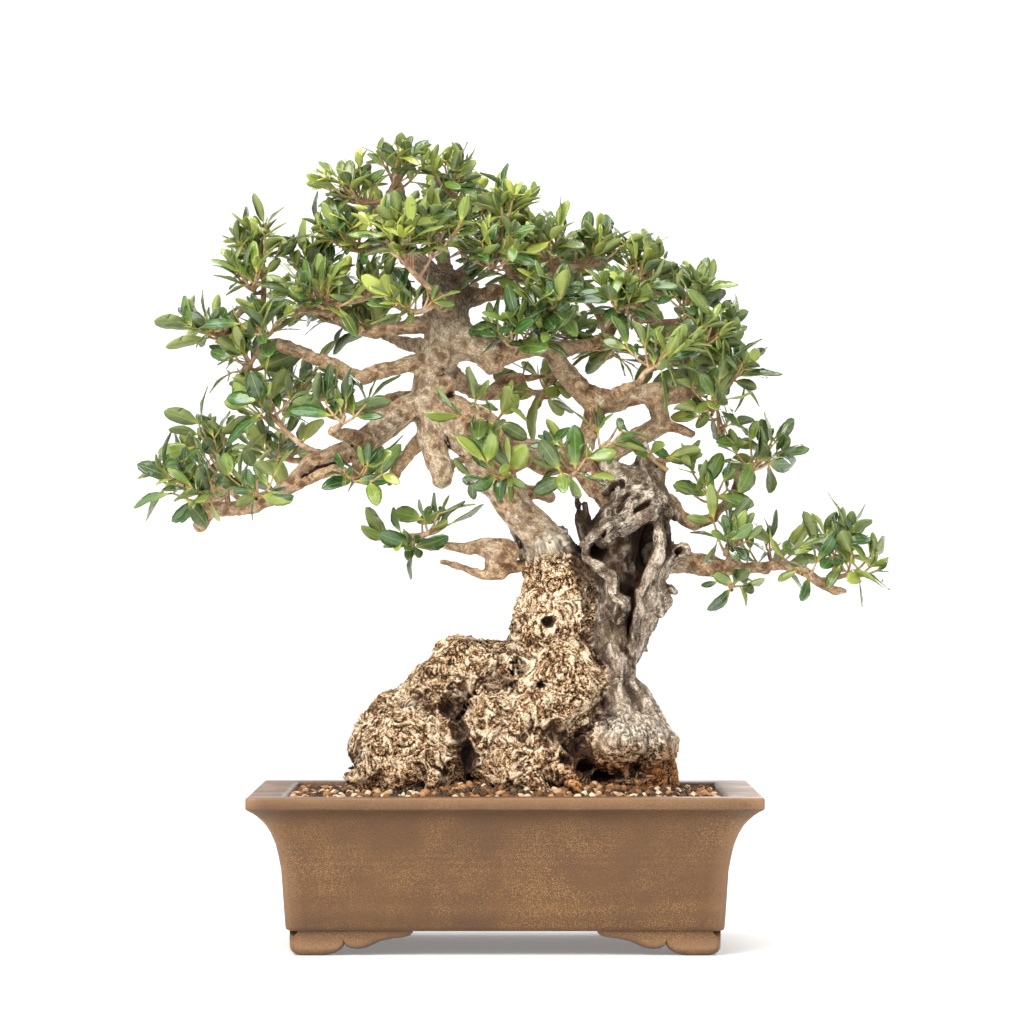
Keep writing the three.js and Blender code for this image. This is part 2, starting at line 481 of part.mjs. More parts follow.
/** The soil: a field of heights with a skirt and a flat underside, cut to the pot's inside. */
function soil(wood, screens) {
  const { floorTop } = POT;
  const [width, depth] = [2 * (POT.halfWidth - SOIL.inset), 2 * (POT.halfDepth - SOIL.inset)];
  const field = new THREE.PlaneGeometry(width, depth, SOIL.columns, SOIL.rows);
  const positions = field.getAttribute("position");
  for (let i = 0; i < positions.count; i += 1)
    positions.setZ(i, soilHeight(positions.getX(i), positions.getY(i)));
  const across = SOIL.columns + 1;
  const edge = [];
  for (let i = 0; i < SOIL.columns; i += 1) edge.push(i);
  for (let j = 0; j < SOIL.rows; j += 1) edge.push(j * across + SOIL.columns);
  for (let i = SOIL.columns; i > 0; i -= 1) edge.push(SOIL.rows * across + i);
  for (let j = SOIL.rows; j > 0; j -= 1) edge.push(j * across);
  const points = Array.from({ length: positions.count }, (_, i) =>
    new THREE.Vector3().fromBufferAttribute(positions, i));
  const skirt = edge.map((i) => points[i].clone().setZ(floorTop + GAP));
  const first = points.length;
  const index = [...field.getIndex().array];
  edge.forEach((top, i) => {
    const next = (i + 1) % edge.length;
    index.push(top, edge[next], first + next, top, first + next, first + i);
    index.push(first + i, first + next, first + edge.length);
  });
  const geometry = new THREE.BufferGeometry();
  geometry.setFromPoints([...points, ...skirt, new THREE.Vector3(0, 0, floorTop + GAP)]);
  geometry.setIndex(index);
  const inside = POT_WALL.slice(-5).reverse();
  const [topInset, topZ] = inside.at(-1);
  const ceiling = topZ + SOIL.mound * 2;
  const room = potRings([...inside, [topInset, ceiling]], -GAP);
  const hollow = solid(skin(new THREE.Vector3(0, 0, floorTop), room, new THREE.Vector3(0, 0, ceiling)));
  const rest = screens.map((x) => {
    const half = SCREEN.side / 2 + GAP;
    return block([x - half, -half, floorTop], [x + half, half, floorTop + SCREEN.thick + 2 * GAP]);
  });
  return largest(solid(geometry).intersect(hollow).subtract(joined(rest)).subtract(wood));
}

// -------------------------------------------------------------------------------------- the wood

/** How many sides a limb is drawn with. */
function sidesFor(points) {
  const thickest = Math.max(...points.map((point) => point[3]));
  if (thickest > LIMB.trunkRadius) return LIMB.trunkSides;
  return thickest > LIMB.branchRadius ? LIMB.branchSides : LIMB.twigSides;
}

/** All the wood of the tree, live and dead, `grow` thicker all round. */
function wood(grow) {
  const limbs = Object.values({ ...LIMBS, ...DEAD_LIMBS });
  const pieces = limbs.map((points) => limb(points, sidesFor(points), grow));
  const hollows = Object.values(HOLLOW_EGGS).map((sizes) => egg(sizes, 1, -grow));
  hollows.push(limb(HOLLOW_SLOT, LIMB.branchSides, -grow));
  return largest(joined([...pieces, burledBase(grow)]).subtract(joined(hollows)));
}

// ------------------------------------------------------------------------------------ the sprays

/** A leaf blade from its root along `along`, its face towards `face`: a thin six-cornered lens. */
function leaf(root, along, face, length, grow = 0) {
  const across = along.clone().cross(face).normalize();
  const up = across.clone().cross(along);
  const half = LEAF.halfWidth * (length / LEAF.length) + grow;
  const thick = LEAF.halfThick + grow;
  const at = (t, u, v) => {
    const arch = LEAF.arch * length * 4 * t * (1 - t);
    const place = root.clone().addScaledVector(along, t * length);
    return place.addScaledVector(across, u).addScaledVector(up, v + arch);
  };
  const [low, high] = [0.3, 0.72];
  const outline = [at(0, 0, 0), at(low, half, 0), at(high, half, 0), at(1, 0, 0),
    at(high, -half, 0), at(low, -half, 0)];
  return solid(skin(at(0.5, 0, -thick), [outline], at(0.5, 0, thick)));
}

/** The shoot that runs through a pad from its spray's root: how far it reaches and which way. */
function shootThrough(root, pad) {
  const centre = vector(pad);
  const reach = vector(pad.slice(3));
  const outward = centre.clone().sub(root).normalize();
  outward.addScaledVector(centre.clone().sub(FACING.heart).normalize(), FACING.away);
  outward.addScaledVector(UP, FACING.up).normalize();
  const half = outward.clone().multiply(reach);
  const inner = centre.clone().addScaledVector(half, -SHOOT.before);
  const tip = centre.clone().addScaledVector(half, SHOOT.past);
  const facing = outward.clone().addScaledVector(UP, FACING.leafUp).normalize();
  return { reach, inner, tip, along: tip.clone().sub(inner).normalize(), facing };
}

/** The leaves a shoot bears: one at its end and pairs that cross the pair before them. */
function leavesOn({ reach, inner, tip, along, facing }, random) {
  const side = along.clone().cross(UP).normalize().applyAxisAngle(along, random() * Math.PI);
  const end = tip.clone().addScaledVector(along, -SHOOT.end);
  const leaves = [{ foot: end, along, facing, length: LEAF.length }];
  const pairs = 1 + (reach.x > PAIRS.smallPad) + (reach.x > PAIRS.widePad);
  for (let pair = 0; pair < pairs; pair += 1) {
    side.applyAxisAngle(along, Math.PI / 2);
    for (const sign of [1, -1]) {
      const fromTip = PAIRS.first + (PAIRS.spread * pair + PAIRS.stagger * (1 + sign)) / pairs;
      const direction = along.clone().multiplyScalar(PAIRS.forward).addScaledVector(side, sign).normalize();
      const room = direction.clone().multiply(reach).length();
      const size = Math.min(Math.max(room, LEAF.shortest), LEAF.longest);
      const length = size * (1 + LEAF.vary * (2 * random() - 1));
      leaves.push({ foot: tip.clone().lerp(inner, fromTip), along: direction, facing, length });
    }
  }
  return leaves;
}

/** The leaf as a solid, turned until it lies clear of the blockers, or nothing after a few tries. */
function clearLeaf({ foot, along, facing, length }, blockers, random) {
  const anyWay = () => new THREE.Vector3(random() - 0.5, random() - 0.5, random() - 0.5);
  for (let turn = 0; turn < CLEAR.tries; turn += 1) {
    const bent = along.clone().addScaledVector(anyWay(), turn * CLEAR.bend).normalize();
    const face = facing.clone().add(anyWay());
    const room = leaf(foot, bent, face, length, GAP);
    const clear = !blockers.some((blocker) => crosses(room, blocker));
    room.delete();
    if (clear) return [leaf(foot, bent, face, length)];
  }
  return [];
}

/** A leafy spray: a shoot through each pad, all but the first branching from the first one. */
function spray(from, pads, seed, blockers) {
  const random = randomFrom(seed);
  const root = vector(from);
  const shoots = pads.map((pad) => shootThrough(root, pad));
  const leaves = shoots.flatMap((shoot) =>
    leavesOn(shoot, random).flatMap((wanted) => clearLeaf(wanted, blockers, random)));
  const forkShare = Math.max(SHOOT.forkShare, SHOOT.fork / root.distanceTo(shoots[0].inner));
  const fork = root.clone().lerp(shoots[0].inner, forkShare);
  const twigs = joined(shoots.map(({ inner, tip }, i) => {
    const start = i ? fork : root;
    const line = [[start, SHOOT.stem], [inner, SHOOT.twig], [tip, SHOOT.end]];
    return limb(line.map(([place, radius]) => [...place.toArray(), radius]), 3, 0, 0);
  }));
  const near = blockers.filter((blocker) => crosses(twigs, blocker));
  const cut = near.reduce((left, blocker) => left.subtract(blocker), twigs);
  return largest(joined([cut, ...leaves]));
}

// --------------------------------------------------------------------------------- the assembly

const group = new THREE.Group();
const grownWood = wood(GAP);

group.add(meshOf("pot", pot(), COLOURS.clay, 0.62));
drainCentres.forEach((x, i) =>
  group.add(meshOf(i ? "drain_screen_right" : "drain_screen_left", drainScreen(x), COLOURS.screen, 0.6)));
group.add(meshOf("soil", soil(grownWood, drainCentres), COLOURS.soil, 0.95));
group.add(meshOf("trunk", wood(0), COLOURS.bark, 0.85));

const blockers = [grownWood];
Object.entries(SPRAYS).forEach(([name, { from, pads }], i) => {
  const leafy = spray(from, pads, SEED + i, blockers);
  group.add(meshOf(`spray_${name}`, leafy, COLOURS.leaf, 0.5));
  blockers.push(leafy);
});

// The origin lies on the ground under the middle of the whole outline.
const outline = new THREE.Box3().setFromObject(group);
const middle = outline.getCenter(new THREE.Vector3());
group.position.set(-middle.x, -middle.y, -outline.min.z);

export default group;
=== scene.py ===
import logging
import math
from collections.abc import Callable, Iterable
from dataclasses import dataclass, field
from enum import Enum

import bpy
import numpy as np
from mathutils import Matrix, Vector


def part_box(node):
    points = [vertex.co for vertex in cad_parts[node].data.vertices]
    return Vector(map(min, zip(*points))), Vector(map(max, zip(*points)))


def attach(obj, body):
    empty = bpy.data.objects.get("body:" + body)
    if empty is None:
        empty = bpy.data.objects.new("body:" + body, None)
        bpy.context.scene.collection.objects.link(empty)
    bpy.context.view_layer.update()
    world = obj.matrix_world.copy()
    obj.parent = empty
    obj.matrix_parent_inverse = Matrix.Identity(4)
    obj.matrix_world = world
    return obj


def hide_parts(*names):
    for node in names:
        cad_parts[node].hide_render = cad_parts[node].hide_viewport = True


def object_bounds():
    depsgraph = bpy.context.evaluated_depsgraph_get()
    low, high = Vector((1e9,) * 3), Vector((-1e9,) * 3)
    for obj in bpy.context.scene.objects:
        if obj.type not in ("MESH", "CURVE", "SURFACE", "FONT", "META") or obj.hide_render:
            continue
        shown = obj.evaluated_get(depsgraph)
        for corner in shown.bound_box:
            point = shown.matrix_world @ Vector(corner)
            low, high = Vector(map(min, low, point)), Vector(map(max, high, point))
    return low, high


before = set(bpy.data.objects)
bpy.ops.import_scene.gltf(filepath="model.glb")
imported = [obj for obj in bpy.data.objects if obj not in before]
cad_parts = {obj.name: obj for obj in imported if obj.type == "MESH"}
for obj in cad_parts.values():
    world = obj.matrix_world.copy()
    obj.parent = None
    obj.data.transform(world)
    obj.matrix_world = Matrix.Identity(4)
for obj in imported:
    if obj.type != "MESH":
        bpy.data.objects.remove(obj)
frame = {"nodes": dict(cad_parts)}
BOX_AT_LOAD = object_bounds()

LOG = logging.getLogger("olive_bonsai")
MM = 0.001
SEED = 709

Point3 = tuple[float, float, float]
Point4 = tuple[float, float, float, float]
Egg = tuple[float, float, float, float, float, float]
Colour = tuple[float, float, float, float]
Array = np.ndarray

# Places and sizes are in millimetres from under the pot's middle, as in the part's source, and
# Place turns them into the row frame's metres. A limb is a row of points (x, y, z, radius) and an
# egg is (x, y, z, reach in x, reach in y, reach in z).

# ---- where the tree's parts lie


LIMBS: dict[str, list[Point4]] = {
    "neck": [
        (26, 0, 95, 36), (25, -1, 125, 33), (24, -3, 152, 30), (27, -5, 176, 26.5),
        (30, -4, 197, 24), (32, -3, 215, 21.5), (28, -2, 229, 18.5), (23, -2, 239, 14),
    ],
    "trunk": [
        (28, -2, 229, 15), (21, -3, 242, 12.5), (12, -4, 254, 11), (3, -5, 266, 10.3),
        (-5, -6, 279, 10.6), (-13, -6, 292, 11.5), (-24, -5, 304, 11.5), (-36, -3, 316, 11.5),
        (-44, -2, 326, 12), (-45, -2, 337, 11.5), (-40, -2, 350, 11.5), (-36, -2, 363, 12.5),
        (-35, -2, 377, 13), (-36, -2, 388, 12), (-37, 0, 398, 8),
    ],
    "left_main": [
        (-45, -3, 325, 9), (-58, -7, 321, 8), (-69, -11, 313, 8), (-81, -14, 303, 8),
        (-93, -16, 295, 7), (-103, -18, 291, 6), (-113, -20, 288, 5.5), (-122, -21, 281, 5),
        (-130, -22, 274, 5), (-140, -22, 267, 4.5), (-152, -20, 262, 4.5), (-165, -18, 261, 4.5),
        (-177, -16, 259, 5), (-182, -15, 251, 4.5),
    ],
    "left_fork": [
        (-85, -18, 295, 4.5), (-91, -26, 281, 4), (-101, -28, 283, 3.5), (-111, -30, 281, 3),
        (-120, -28, 276, 3), (-128, -24, 272, 3),
    ],
    "left_mid": [
        (-46, -4, 350, 6), (-60, -8, 347, 4.5), (-74, -12, 343, 4), (-86, -14, 339, 4.3),
        (-95, -15, 341, 4.5), (-103, -16, 347, 4.3), (-114, -16, 351, 4.2), (-124, -15, 355, 4),
        (-133, -13, 358, 4), (-144, -10, 360, 3),
    ],
    "left_high": [
        (-40, -3, 371, 6), (-56, -6, 370, 4.5), (-70, -8, 368, 4), (-84, -10, 367, 3),
        (-96, -12, 370, 2.2), (-106, -12, 378, 2), (-123, -12, 378, 1.9), (-135, -12, 377, 1.8),
        (-145, -11, 380, 1.6), (-155, -10, 382, 1.3),
    ],
    "left_back": [
        (-47, 6, 329, 6), (-64, 16, 327, 5), (-79, 26, 324, 4.5), (-94, 33, 322, 4),
        (-108, 40, 329, 3), (-122, 46, 326, 2.2),
    ],
    "crown_left": [
        (-39, -2, 392, 9), (-46, -3, 403, 7), (-56, -4, 412, 6.5), (-61, -5, 422, 6),
        (-64, -4, 432, 4.5), (-72, -4, 439, 3.2), (-80, -4, 444, 2.2),
    ],
    "crown_mid": [
        (-36, 2, 392, 8), (-37, 6, 409, 4.5), (-39, 8, 424, 3.5), (-36, 9, 437, 2.6),
        (-30, 10, 446, 2),
    ],
    "crown_right": [(-33, 0, 391, 8), (-25, -2, 402, 5), (-18, -6, 409, 4), (-14, -10, 416, 2.6)],
    "right_high": [
        (-32, 2, 386, 8), (-18, 4, 388, 5.5), (-4, 4, 391, 4.2), (9, 2, 391, 3),
        (21, 0, 396, 2.2), (30, 0, 403, 1.6),
    ],
    "right_main": [
        (-34, -2, 366, 11), (-21, -6, 360, 10), (-8, -9, 356, 8.5), (5, -11, 355, 6.3),
        (16, -12, 357, 5), (27, -13, 355, 5.2), (34, -13, 345, 5.5), (43, -12, 334, 6),
        (53, -11, 327, 7), (64, -10, 325, 7.2), (77, -8, 328, 6.5), (88, -6, 330, 6.2),
        (100, -5, 329, 5.5), (111, -4, 331, 4.5), (120, -4, 333, 3),
    ],
    "right_knob": [(-16, -8, 358, 6), (-9, -13, 347, 6), (-5, -15, 346, 4)],
    "right_rise": [
        (27, -12, 356, 4.5), (40, -4, 358, 3.6), (54, 3, 360, 3.4), (61, 6, 366, 3.2),
        (67, 7, 373, 3), (81, 8, 375, 2.4), (93, 8, 373, 1.8),
    ],
    "vein": [
        (74, 24, 95, 24), (75, 20, 115, 20), (72, 14, 137, 13), (68, 9, 158, 9),
        (74, 8, 180, 9), (84, 8, 205, 9), (88, 8, 227, 10), (91, 9, 248, 9),
        (86, 10, 261, 8), (75, 10, 268, 8), (64, 4, 266, 7.5),
    ],
    "right_arch": [
        (70, 6, 261, 8), (59, 0, 269, 7), (50, -4, 279, 6.3), (46, -6, 290, 6),
        (49, -8, 303, 5.5), (52, -10, 315, 5.3), (55, -11, 325, 6),
    ],
    "back_bridge": [
        (-18, 2, 299, 9), (0, 14, 297, 8), (18, 20, 295, 8), (34, 18, 292, 8), (48, 6, 287, 7),
    ],
    "right_loop": [
        (51, 2, 279, 7), (59, 0, 289, 5.5), (68, -2, 297, 5.5), (78, -4, 303, 5.5),
        (88, -5, 308, 6), (93, -6, 313, 5.5), (91, -6, 321, 5.5), (89, -6, 328, 6),
    ],
    "right_stub": [(88, -5, 308, 4.5), (97, -6, 310, 3.6), (105, -7, 309, 3), (111, -8, 306, 2.6)],
    "low_right": [
        (88, 8, 233, 9), (98, 4, 230, 8.5), (108, 0, 229, 7), (120, -3, 227, 6),
        (135, -5, 225, 4.6), (150, -6, 226, 3.5), (164, -6, 227, 3), (176, -6, 225, 2.6),
        (185, -6, 219, 3), (194, -5, 213, 2.4), (204, -4, 212, 1.5),
    ],
    "low_right_knob": [(136, -5, 227, 4.5), (137, -8, 235, 4), (139, -9, 242, 4)],
    "low_right_upper": [
        (88, 8, 264, 7), (98, 4, 265, 5), (104, 1, 258, 4.2), (113, -1, 252, 3.6),
        (123, -2, 255, 3.6), (131, -2, 262, 3.5), (138, -2, 267, 4.2), (145, -3, 264, 3.2),
    ],
    "low_right_rise": [(138, -2, 267, 3), (138, 0, 276, 2), (141, 2, 284, 1.5)],
    "stub_down": [
        (-46, -6, 319, 8), (-45, -10, 307, 7), (-42, -13, 295, 7), (-38, -15, 284, 7.2),
        (-38, -15, 279, 6),
    ],
    "fork_down": [
        (-42, -2, 309, 6), (-51, 6, 302, 4.8), (-59, 11, 293, 4.2), (-66, 15, 284, 3.6),
        (-70, 17, 276, 2),
    ],
    "sling": [(-39, -14, 284, 3), (-28, -15, 289, 2.6), (-16, -14, 292, 2.6), (-8, -10, 289, 2.4)],
    "centre_band": [
        (-41, -8, 324, 8), (-28, -13, 320, 5.8), (-15, -17, 316, 5), (-3, -20, 308, 4.6),
        (6, -22, 298, 4.6), (16, -23, 289, 4), (25, -24, 283, 3), (36, -26, 284, 2.2),
        (50, -28, 285, 1.6),
    ],
    "centre_back": [
        (-36, 2, 342, 9), (-24, 12, 335, 5.5), (-13, 18, 331, 5), (-4, 23, 335, 4.6),
        (5, 27, 340, 4), (19, 33, 341, 1.8), (31, 38, 343, 1.2),
    ],
    "behind_stub": [(0, 4, 275, 6), (10, 10, 271, 5), (20, 14, 271, 4), (27, 16, 268, 3.2)],
    "low_left": [
        (21, -4, 229, 5), (8, -8, 227, 3.2), (-3, -10, 222, 3), (-14, -11, 221, 2.6),
        (-26, -11, 226, 1.8), (-38, -11, 229, 1.2),
    ],
    "low_left_knob": [
        (-3, -10, 222, 3.2), (-6, -11, 228, 5.5), (2, -12, 235, 6.5), (-6, -12, 237, 6),
        (-15, -12, 238, 5), (-26, -11, 238, 3), (-35, -10, 239, 2.2), (-46, -8, 242, 1.6),
        (-59, -6, 244, 1.2),
    ],
    "back_crown": [(-35, 8, 376, 8), (-30, 34, 383, 5), (-23, 60, 389, 3.6), (-19, 82, 399, 2.4)],
    "back_left": [(-39, 8, 355, 8), (-49, 34, 359, 5), (-65, 60, 364, 3.8), (-77, 84, 370, 2.4)],
    "back_right": [(28, -8, 355, 5), (37, 20, 357, 4.6), (49, 48, 362, 3.8), (62, 76, 368, 2.4)],
    "back_low_left": [
        (-92, -10, 295, 6), (-101, 18, 292, 4.4), (-114, 44, 290, 3.2), (-126, 64, 291, 2),
    ],
    "front_crown": [(-35, -10, 379, 7), (-39, -34, 384, 4.4), (-43, -56, 390, 3)],
    "front_right": [(64, -14, 325, 5), (69, -34, 330, 3.6), (79, -54, 335, 2.4)],
    "front_left": [(-83, -18, 302, 5), (-93, -36, 304, 3.6), (-103, -54, 306, 2.2)],
}

DEAD_LIMBS: dict[str, list[Point4]] = {
    "shell": [
        (78, -4, 95, 26), (77, -6, 124, 21), (73, -6, 140, 16), (67, -6, 158, 11.5),
        (68, -6, 176, 12.5), (72, -7, 193, 16), (75, -8, 211, 18), (73, -7, 227, 21),
        (72, -6, 241, 23.5), (79, -4, 253, 18.5), (83, -3, 265, 16), (81, -3, 275, 12),
    ],
    "web": [(50, -2, 110, 18), (51, -6, 160, 13), (54, -7, 200, 11), (53, -4, 238, 8)],
    "peak_right": [(82, -4, 273, 10), (84, -4, 284, 7), (84, -4, 293, 4)],
    "peak_left": [(78, -4, 271, 11), (69, -5, 279, 8.5), (59, -5, 287, 6)],
    "spike_left": [
        (54, -8, 235, 6.5), (48.5, -8, 244, 4.4), (45, -8, 253, 2.9), (43.5, -8, 262, 2.2),
        (43, -8, 269, 1.5),
    ],
    "spike_right": [(53, -7, 240, 4), (50, -8, 250, 2.6), (48.5, -8, 258, 2), (48, -8, 264, 1.4)],
    "ring_stub": [(94, -10, 230, 7), (101, -16, 234, 6), (106, -20, 236, 5)],
}

BURLS: dict[str, Egg] = {
    "front_left": (-54, -28, 113, 31, 28, 31),
    "left_back": (-59, 12, 119, 33, 30, 34),
    "toe_left": (-82, -14, 96, 15, 18, 13),
    "shoulder_left": (-39, 2, 145, 24, 32, 25),
    "shoulder_top": (-14, -2, 161, 26, 30, 23),
    "shoulder_corner": (-28, -6, 172, 12, 14, 12),
    "centre_left": (-2, -32, 123, 24, 26, 32),
    "centre": (36, -20, 153, 26, 26, 30),
    "centre_join": (17, -25, 137, 21, 22, 26),
    "low": (18, -44, 105, 24, 18, 18),
    "low_right": (70, -16, 122, 31, 32, 20),
    "knob_right": (93, -8, 112, 9, 9, 9),
    "back_left": (-31, 30, 118, 38, 28, 36),
    "back_mid": (15, 34, 124, 40, 30, 42),
    "back_right": (58, 26, 120, 36, 28, 32),
}

SPRAYS: dict[str, tuple[Point3, list[Egg]]] = {
    "crown_top": ((-72, -4, 438), [(-63, -6, 466, 19, 17, 14), (-92, -10, 451, 20, 18, 15)]),
    "crown_peak": ((-30, 10, 445), [(-33, 4, 461, 20, 20, 16)]),
    "crown_left": ((-61, -5, 421), [(-97, -18, 423, 19, 20, 15)]),
    "crown_front": ((-43, -54, 389), [(-63, -62, 418, 22, 18, 18), (-39, -48, 424, 22, 18, 18)]),
    "crown_right": ((-14, -10, 414), [(2, -4, 439, 20, 20, 17), (-8, -38, 409, 22, 18, 17),
        (6, 10, 402, 20, 16, 12)]),
    "crown_back": ((-19, 80, 398), [(-31, 66, 444, 28, 24, 18), (-3, 88, 425, 24, 20, 17)]),
    "crown_back_left": ((-23, 60, 389), [(-68, 62, 437, 26, 24, 18)]),
    "right_high": ((30, 0, 403), [(24, -10, 416, 19, 20, 16), (57, 12, 416, 20, 20, 15)]),
    "right_high_front": ((9, 2, 391), [(28, -42, 383, 22, 18, 12), (30, 12, 366, 22, 16, 11)]),
    "right_high_back": ((62, 76, 368), [(33, 72, 410, 28, 22, 18), (80, 74, 395, 26, 24, 18)]),
    "right_upper": ((81, 8, 375), [(81, 12, 406, 17, 18, 14), (69, -24, 386, 21, 16, 12),
        (58, 8, 354, 22, 14, 12)]),
    "right_far_top": ((93, 8, 373), [(112, 4, 389, 18, 20, 14), (121, -14, 365, 20, 20, 16),
        (88, 12, 352, 20, 14, 12)]),
    "right_far": ((120, -4, 333), [(133, -4, 345, 21, 22, 15), (123, -18, 323, 20, 18, 14),
        (128, -6, 310, 17, 14, 10)]),
    "right_far_back": ((111, -4, 331), [(108, 52, 358, 26, 24, 16)]),
    "right_front": ((79, -54, 335), [(90, -46, 351, 22, 18, 12)]),
    "right_tuft": ((78, -4, 303), [(97, -14, 289, 14, 14, 12)]),
    "left_high_far": ((-145, -11, 380), [(-145, -14, 418, 17, 18, 14),
        (-151, -28, 399, 18, 16, 11)]),
    "left_high_in": ((-106, -12, 378), [(-112, 2, 407, 17, 20, 12), (-109, -34, 387, 22, 16, 11),
        (-78, 4, 394, 20, 16, 12)]),
    "left_high_tip": ((-155, -10, 382), [(-173, -4, 366, 18, 18, 13)]),
    "left_mid": ((-144, -10, 360), [(-141, -34, 370, 20, 16, 12), (-155, -6, 350, 18, 20, 15)]),
    "left_low": ((-103, -18, 291), [(-141, -20, 324, 20, 18, 14)]),
    "left_low_front": ((-103, -54, 306), [(-95, -46, 320, 22, 16, 11)]),
    "left_far": ((-165, -18, 261), [(-173, -12, 301, 17, 18, 15), (-196, -18, 280, 21, 18, 12),
        (-179, -42, 270, 20, 16, 11)]),
    "left_far_front": ((-140, -22, 267), [(-147, -50, 273, 19, 16, 15)]),
    "left_far_back": ((-152, -20, 262), [(-176, 32, 286, 24, 20, 14)]),
    "left_under": ((-91, -26, 281), [(-81, -48, 281, 18, 14, 12)]),
    "left_back": ((-122, 46, 326), [(-128, 62, 337, 26, 22, 14)]),
    "left_back_low": ((-126, 64, 291), [(-137, 74, 299, 24, 20, 13)]),
    "left_back_high": ((-77, 84, 370), [(-87, 94, 380, 26, 20, 15), (-115, 72, 391, 24, 20, 14)]),
    "centre_front": ((-39, -34, 384), [(-57, -52, 380, 20, 14, 10)]),
    "centre_mid": ((-3, -20, 308), [(-12, -52, 317, 20, 14, 13)]),
    "centre_low": ((16, -23, 289), [(-4, -54, 283, 22, 14, 12)]),
    "centre_tip": ((50, -28, 285), [(36, -50, 287, 20, 14, 18), (60, -30, 305, 15, 12, 10)]),
    "centre_right": ((5, -11, 355), [(9, -42, 365, 22, 14, 11)]),
    "centre_back": ((31, 38, 343), [(21, 48, 333, 22, 18, 14)]),
    "low_left": ((-59, -6, 244), [(-40, -8, 254, 20, 16, 12), (-57, -22, 242, 18, 14, 11)]),
    "low_right_top": ((141, 2, 284), [(152, 2, 293, 22, 20, 15)]),
    "low_right_upper": ((123, -2, 255), [(123, -14, 273, 17, 16, 12)]),
    "low_right_front": ((137, -8, 235), [(132, -32, 245, 22, 16, 13)]),
    "low_right_back": ((150, -6, 226), [(161, 14, 236, 22, 16, 12)]),
    "low_right_under": ((130, -4, 226), [(135, -14, 216, 20, 16, 8)]),
    "low_right_end": ((194, -5, 213), [(198, -6, 241, 19, 20, 17), (211, -12, 225, 16, 16, 13),
        (177, -18, 227, 13, 12, 12)]),
}


# ---- helpers


class Place:
    """Turns millimetres from under the pot's middle into the row frame's metres."""

    def __init__(self) -> None:
        """Reads where the frame's pot stands."""
        low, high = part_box("pot")
        self.shift = np.array([(low.x + high.x) / 2, (low.y + high.y) / 2, low.z])

    def metres(self, points: Array) -> Array:
        """The points, in millimetres, as places in the row frame."""
        return np.asarray(points, float) * MM + self.shift


class Noise:
    """Smooth seeded noise in space, read from a wrapped lattice of random values."""

    SIDE = 64

    def __init__(self, seed: int) -> None:
        """Fills the lattice from the seed."""
        values = np.random.default_rng(seed).random((self.SIDE,) * 3) * 2 - 1
        self._lattice = values.astype(np.float32)

    def at(self, points: Array, size: float) -> Array:
        """One layer of noise.

        Args:
            points: Places, one a row.
            size: Width of its features, in the unit of the points.

        Returns:
            Values from -1 to 1.
        """
        turned = np.asarray(points, np.float32) @ TURN.astype(np.float32) / np.float32(size)
        cell = np.floor(turned).astype(np.int64)
        share = turned - cell
        share = share * share * (3 - 2 * share)
        total = np.zeros(len(turned), np.float32)
        for corner in np.ndindex(2, 2, 2):
            weight = np.ones(len(turned), np.float32)
            for axis, side in enumerate(corner):
                weight *= share[:, axis] if side else 1 - share[:, axis]
            i, j, k = ((cell + corner) % self.SIDE).T
            total += weight * self._lattice[i, j, k]
        return total

    def layers(self, points: Array, size: float, count: int) -> Array:
        """Layers of noise, each half as wide and strong as the last, from about -1 to 1."""
        total = sum(self.at(points + 7.3 * i, size / 2**i) / 2**i for i in range(count))
        return total / 1.5

    def ridges(self, points: Array, size: float, count: int) -> Array:
        """Sharp ridges between rounded valleys, from 0 in a valley to 1 on a crest.

        Args:
            points: Places, one a row.
            size: Width of the widest ridges.
            count: How many layers, each half as wide and strong as the last.

        Returns:
            Values from 0 to 1.
        """
        total = sum(
            (1 - np.abs(self.at(points + 3.1 * i, size / 2**i))) ** 3 / 2**i for i in range(count)
        )
        return total / sum(0.5**i for i in range(count))


# A turn of space, so that the lattice's planes lie along none of the object's own.
TURN = np.array([[0.72, -0.49, 0.49], [0.57, 0.82, -0.02], [-0.39, 0.29, 0.87]])


def smooth_step(low: float, high: float, values: Array) -> Array:
    """Runs from 0 below `low` to 1 above `high`, and smoothly between."""
    share = np.clip((values - low) / (high - low), 0, 1)
    return share * share * (3 - 2 * share)


def smooth_line(points: Array, spacing: float) -> Array:
    """A smooth line through rows of points.

    Args:
        points: Places and, past the third column, values that go with them.
        spacing: Distance between the points of the line.

    Returns:
        The same columns along a Catmull-Rom curve.
    """
    points = np.asarray(points, float)
    padded = np.vstack([2 * points[0] - points[1], points, 2 * points[-1] - points[-2]])
    rows = []
    for a, b, c, d in zip(padded, padded[1:], padded[2:], padded[3:]):
        steps = max(1, round(float(np.linalg.norm(c[:3] - b[:3])) / spacing))
        for t in np.arange(steps) / steps:
            square = (2 * a - 5 * b + 4 * c - d) * t * t
            rows.append(0.5 * (2 * b + (c - a) * t + square + (3 * b - a - 3 * c + d) * t**3))
    rows.append(points[-1])
    return np.array(rows)


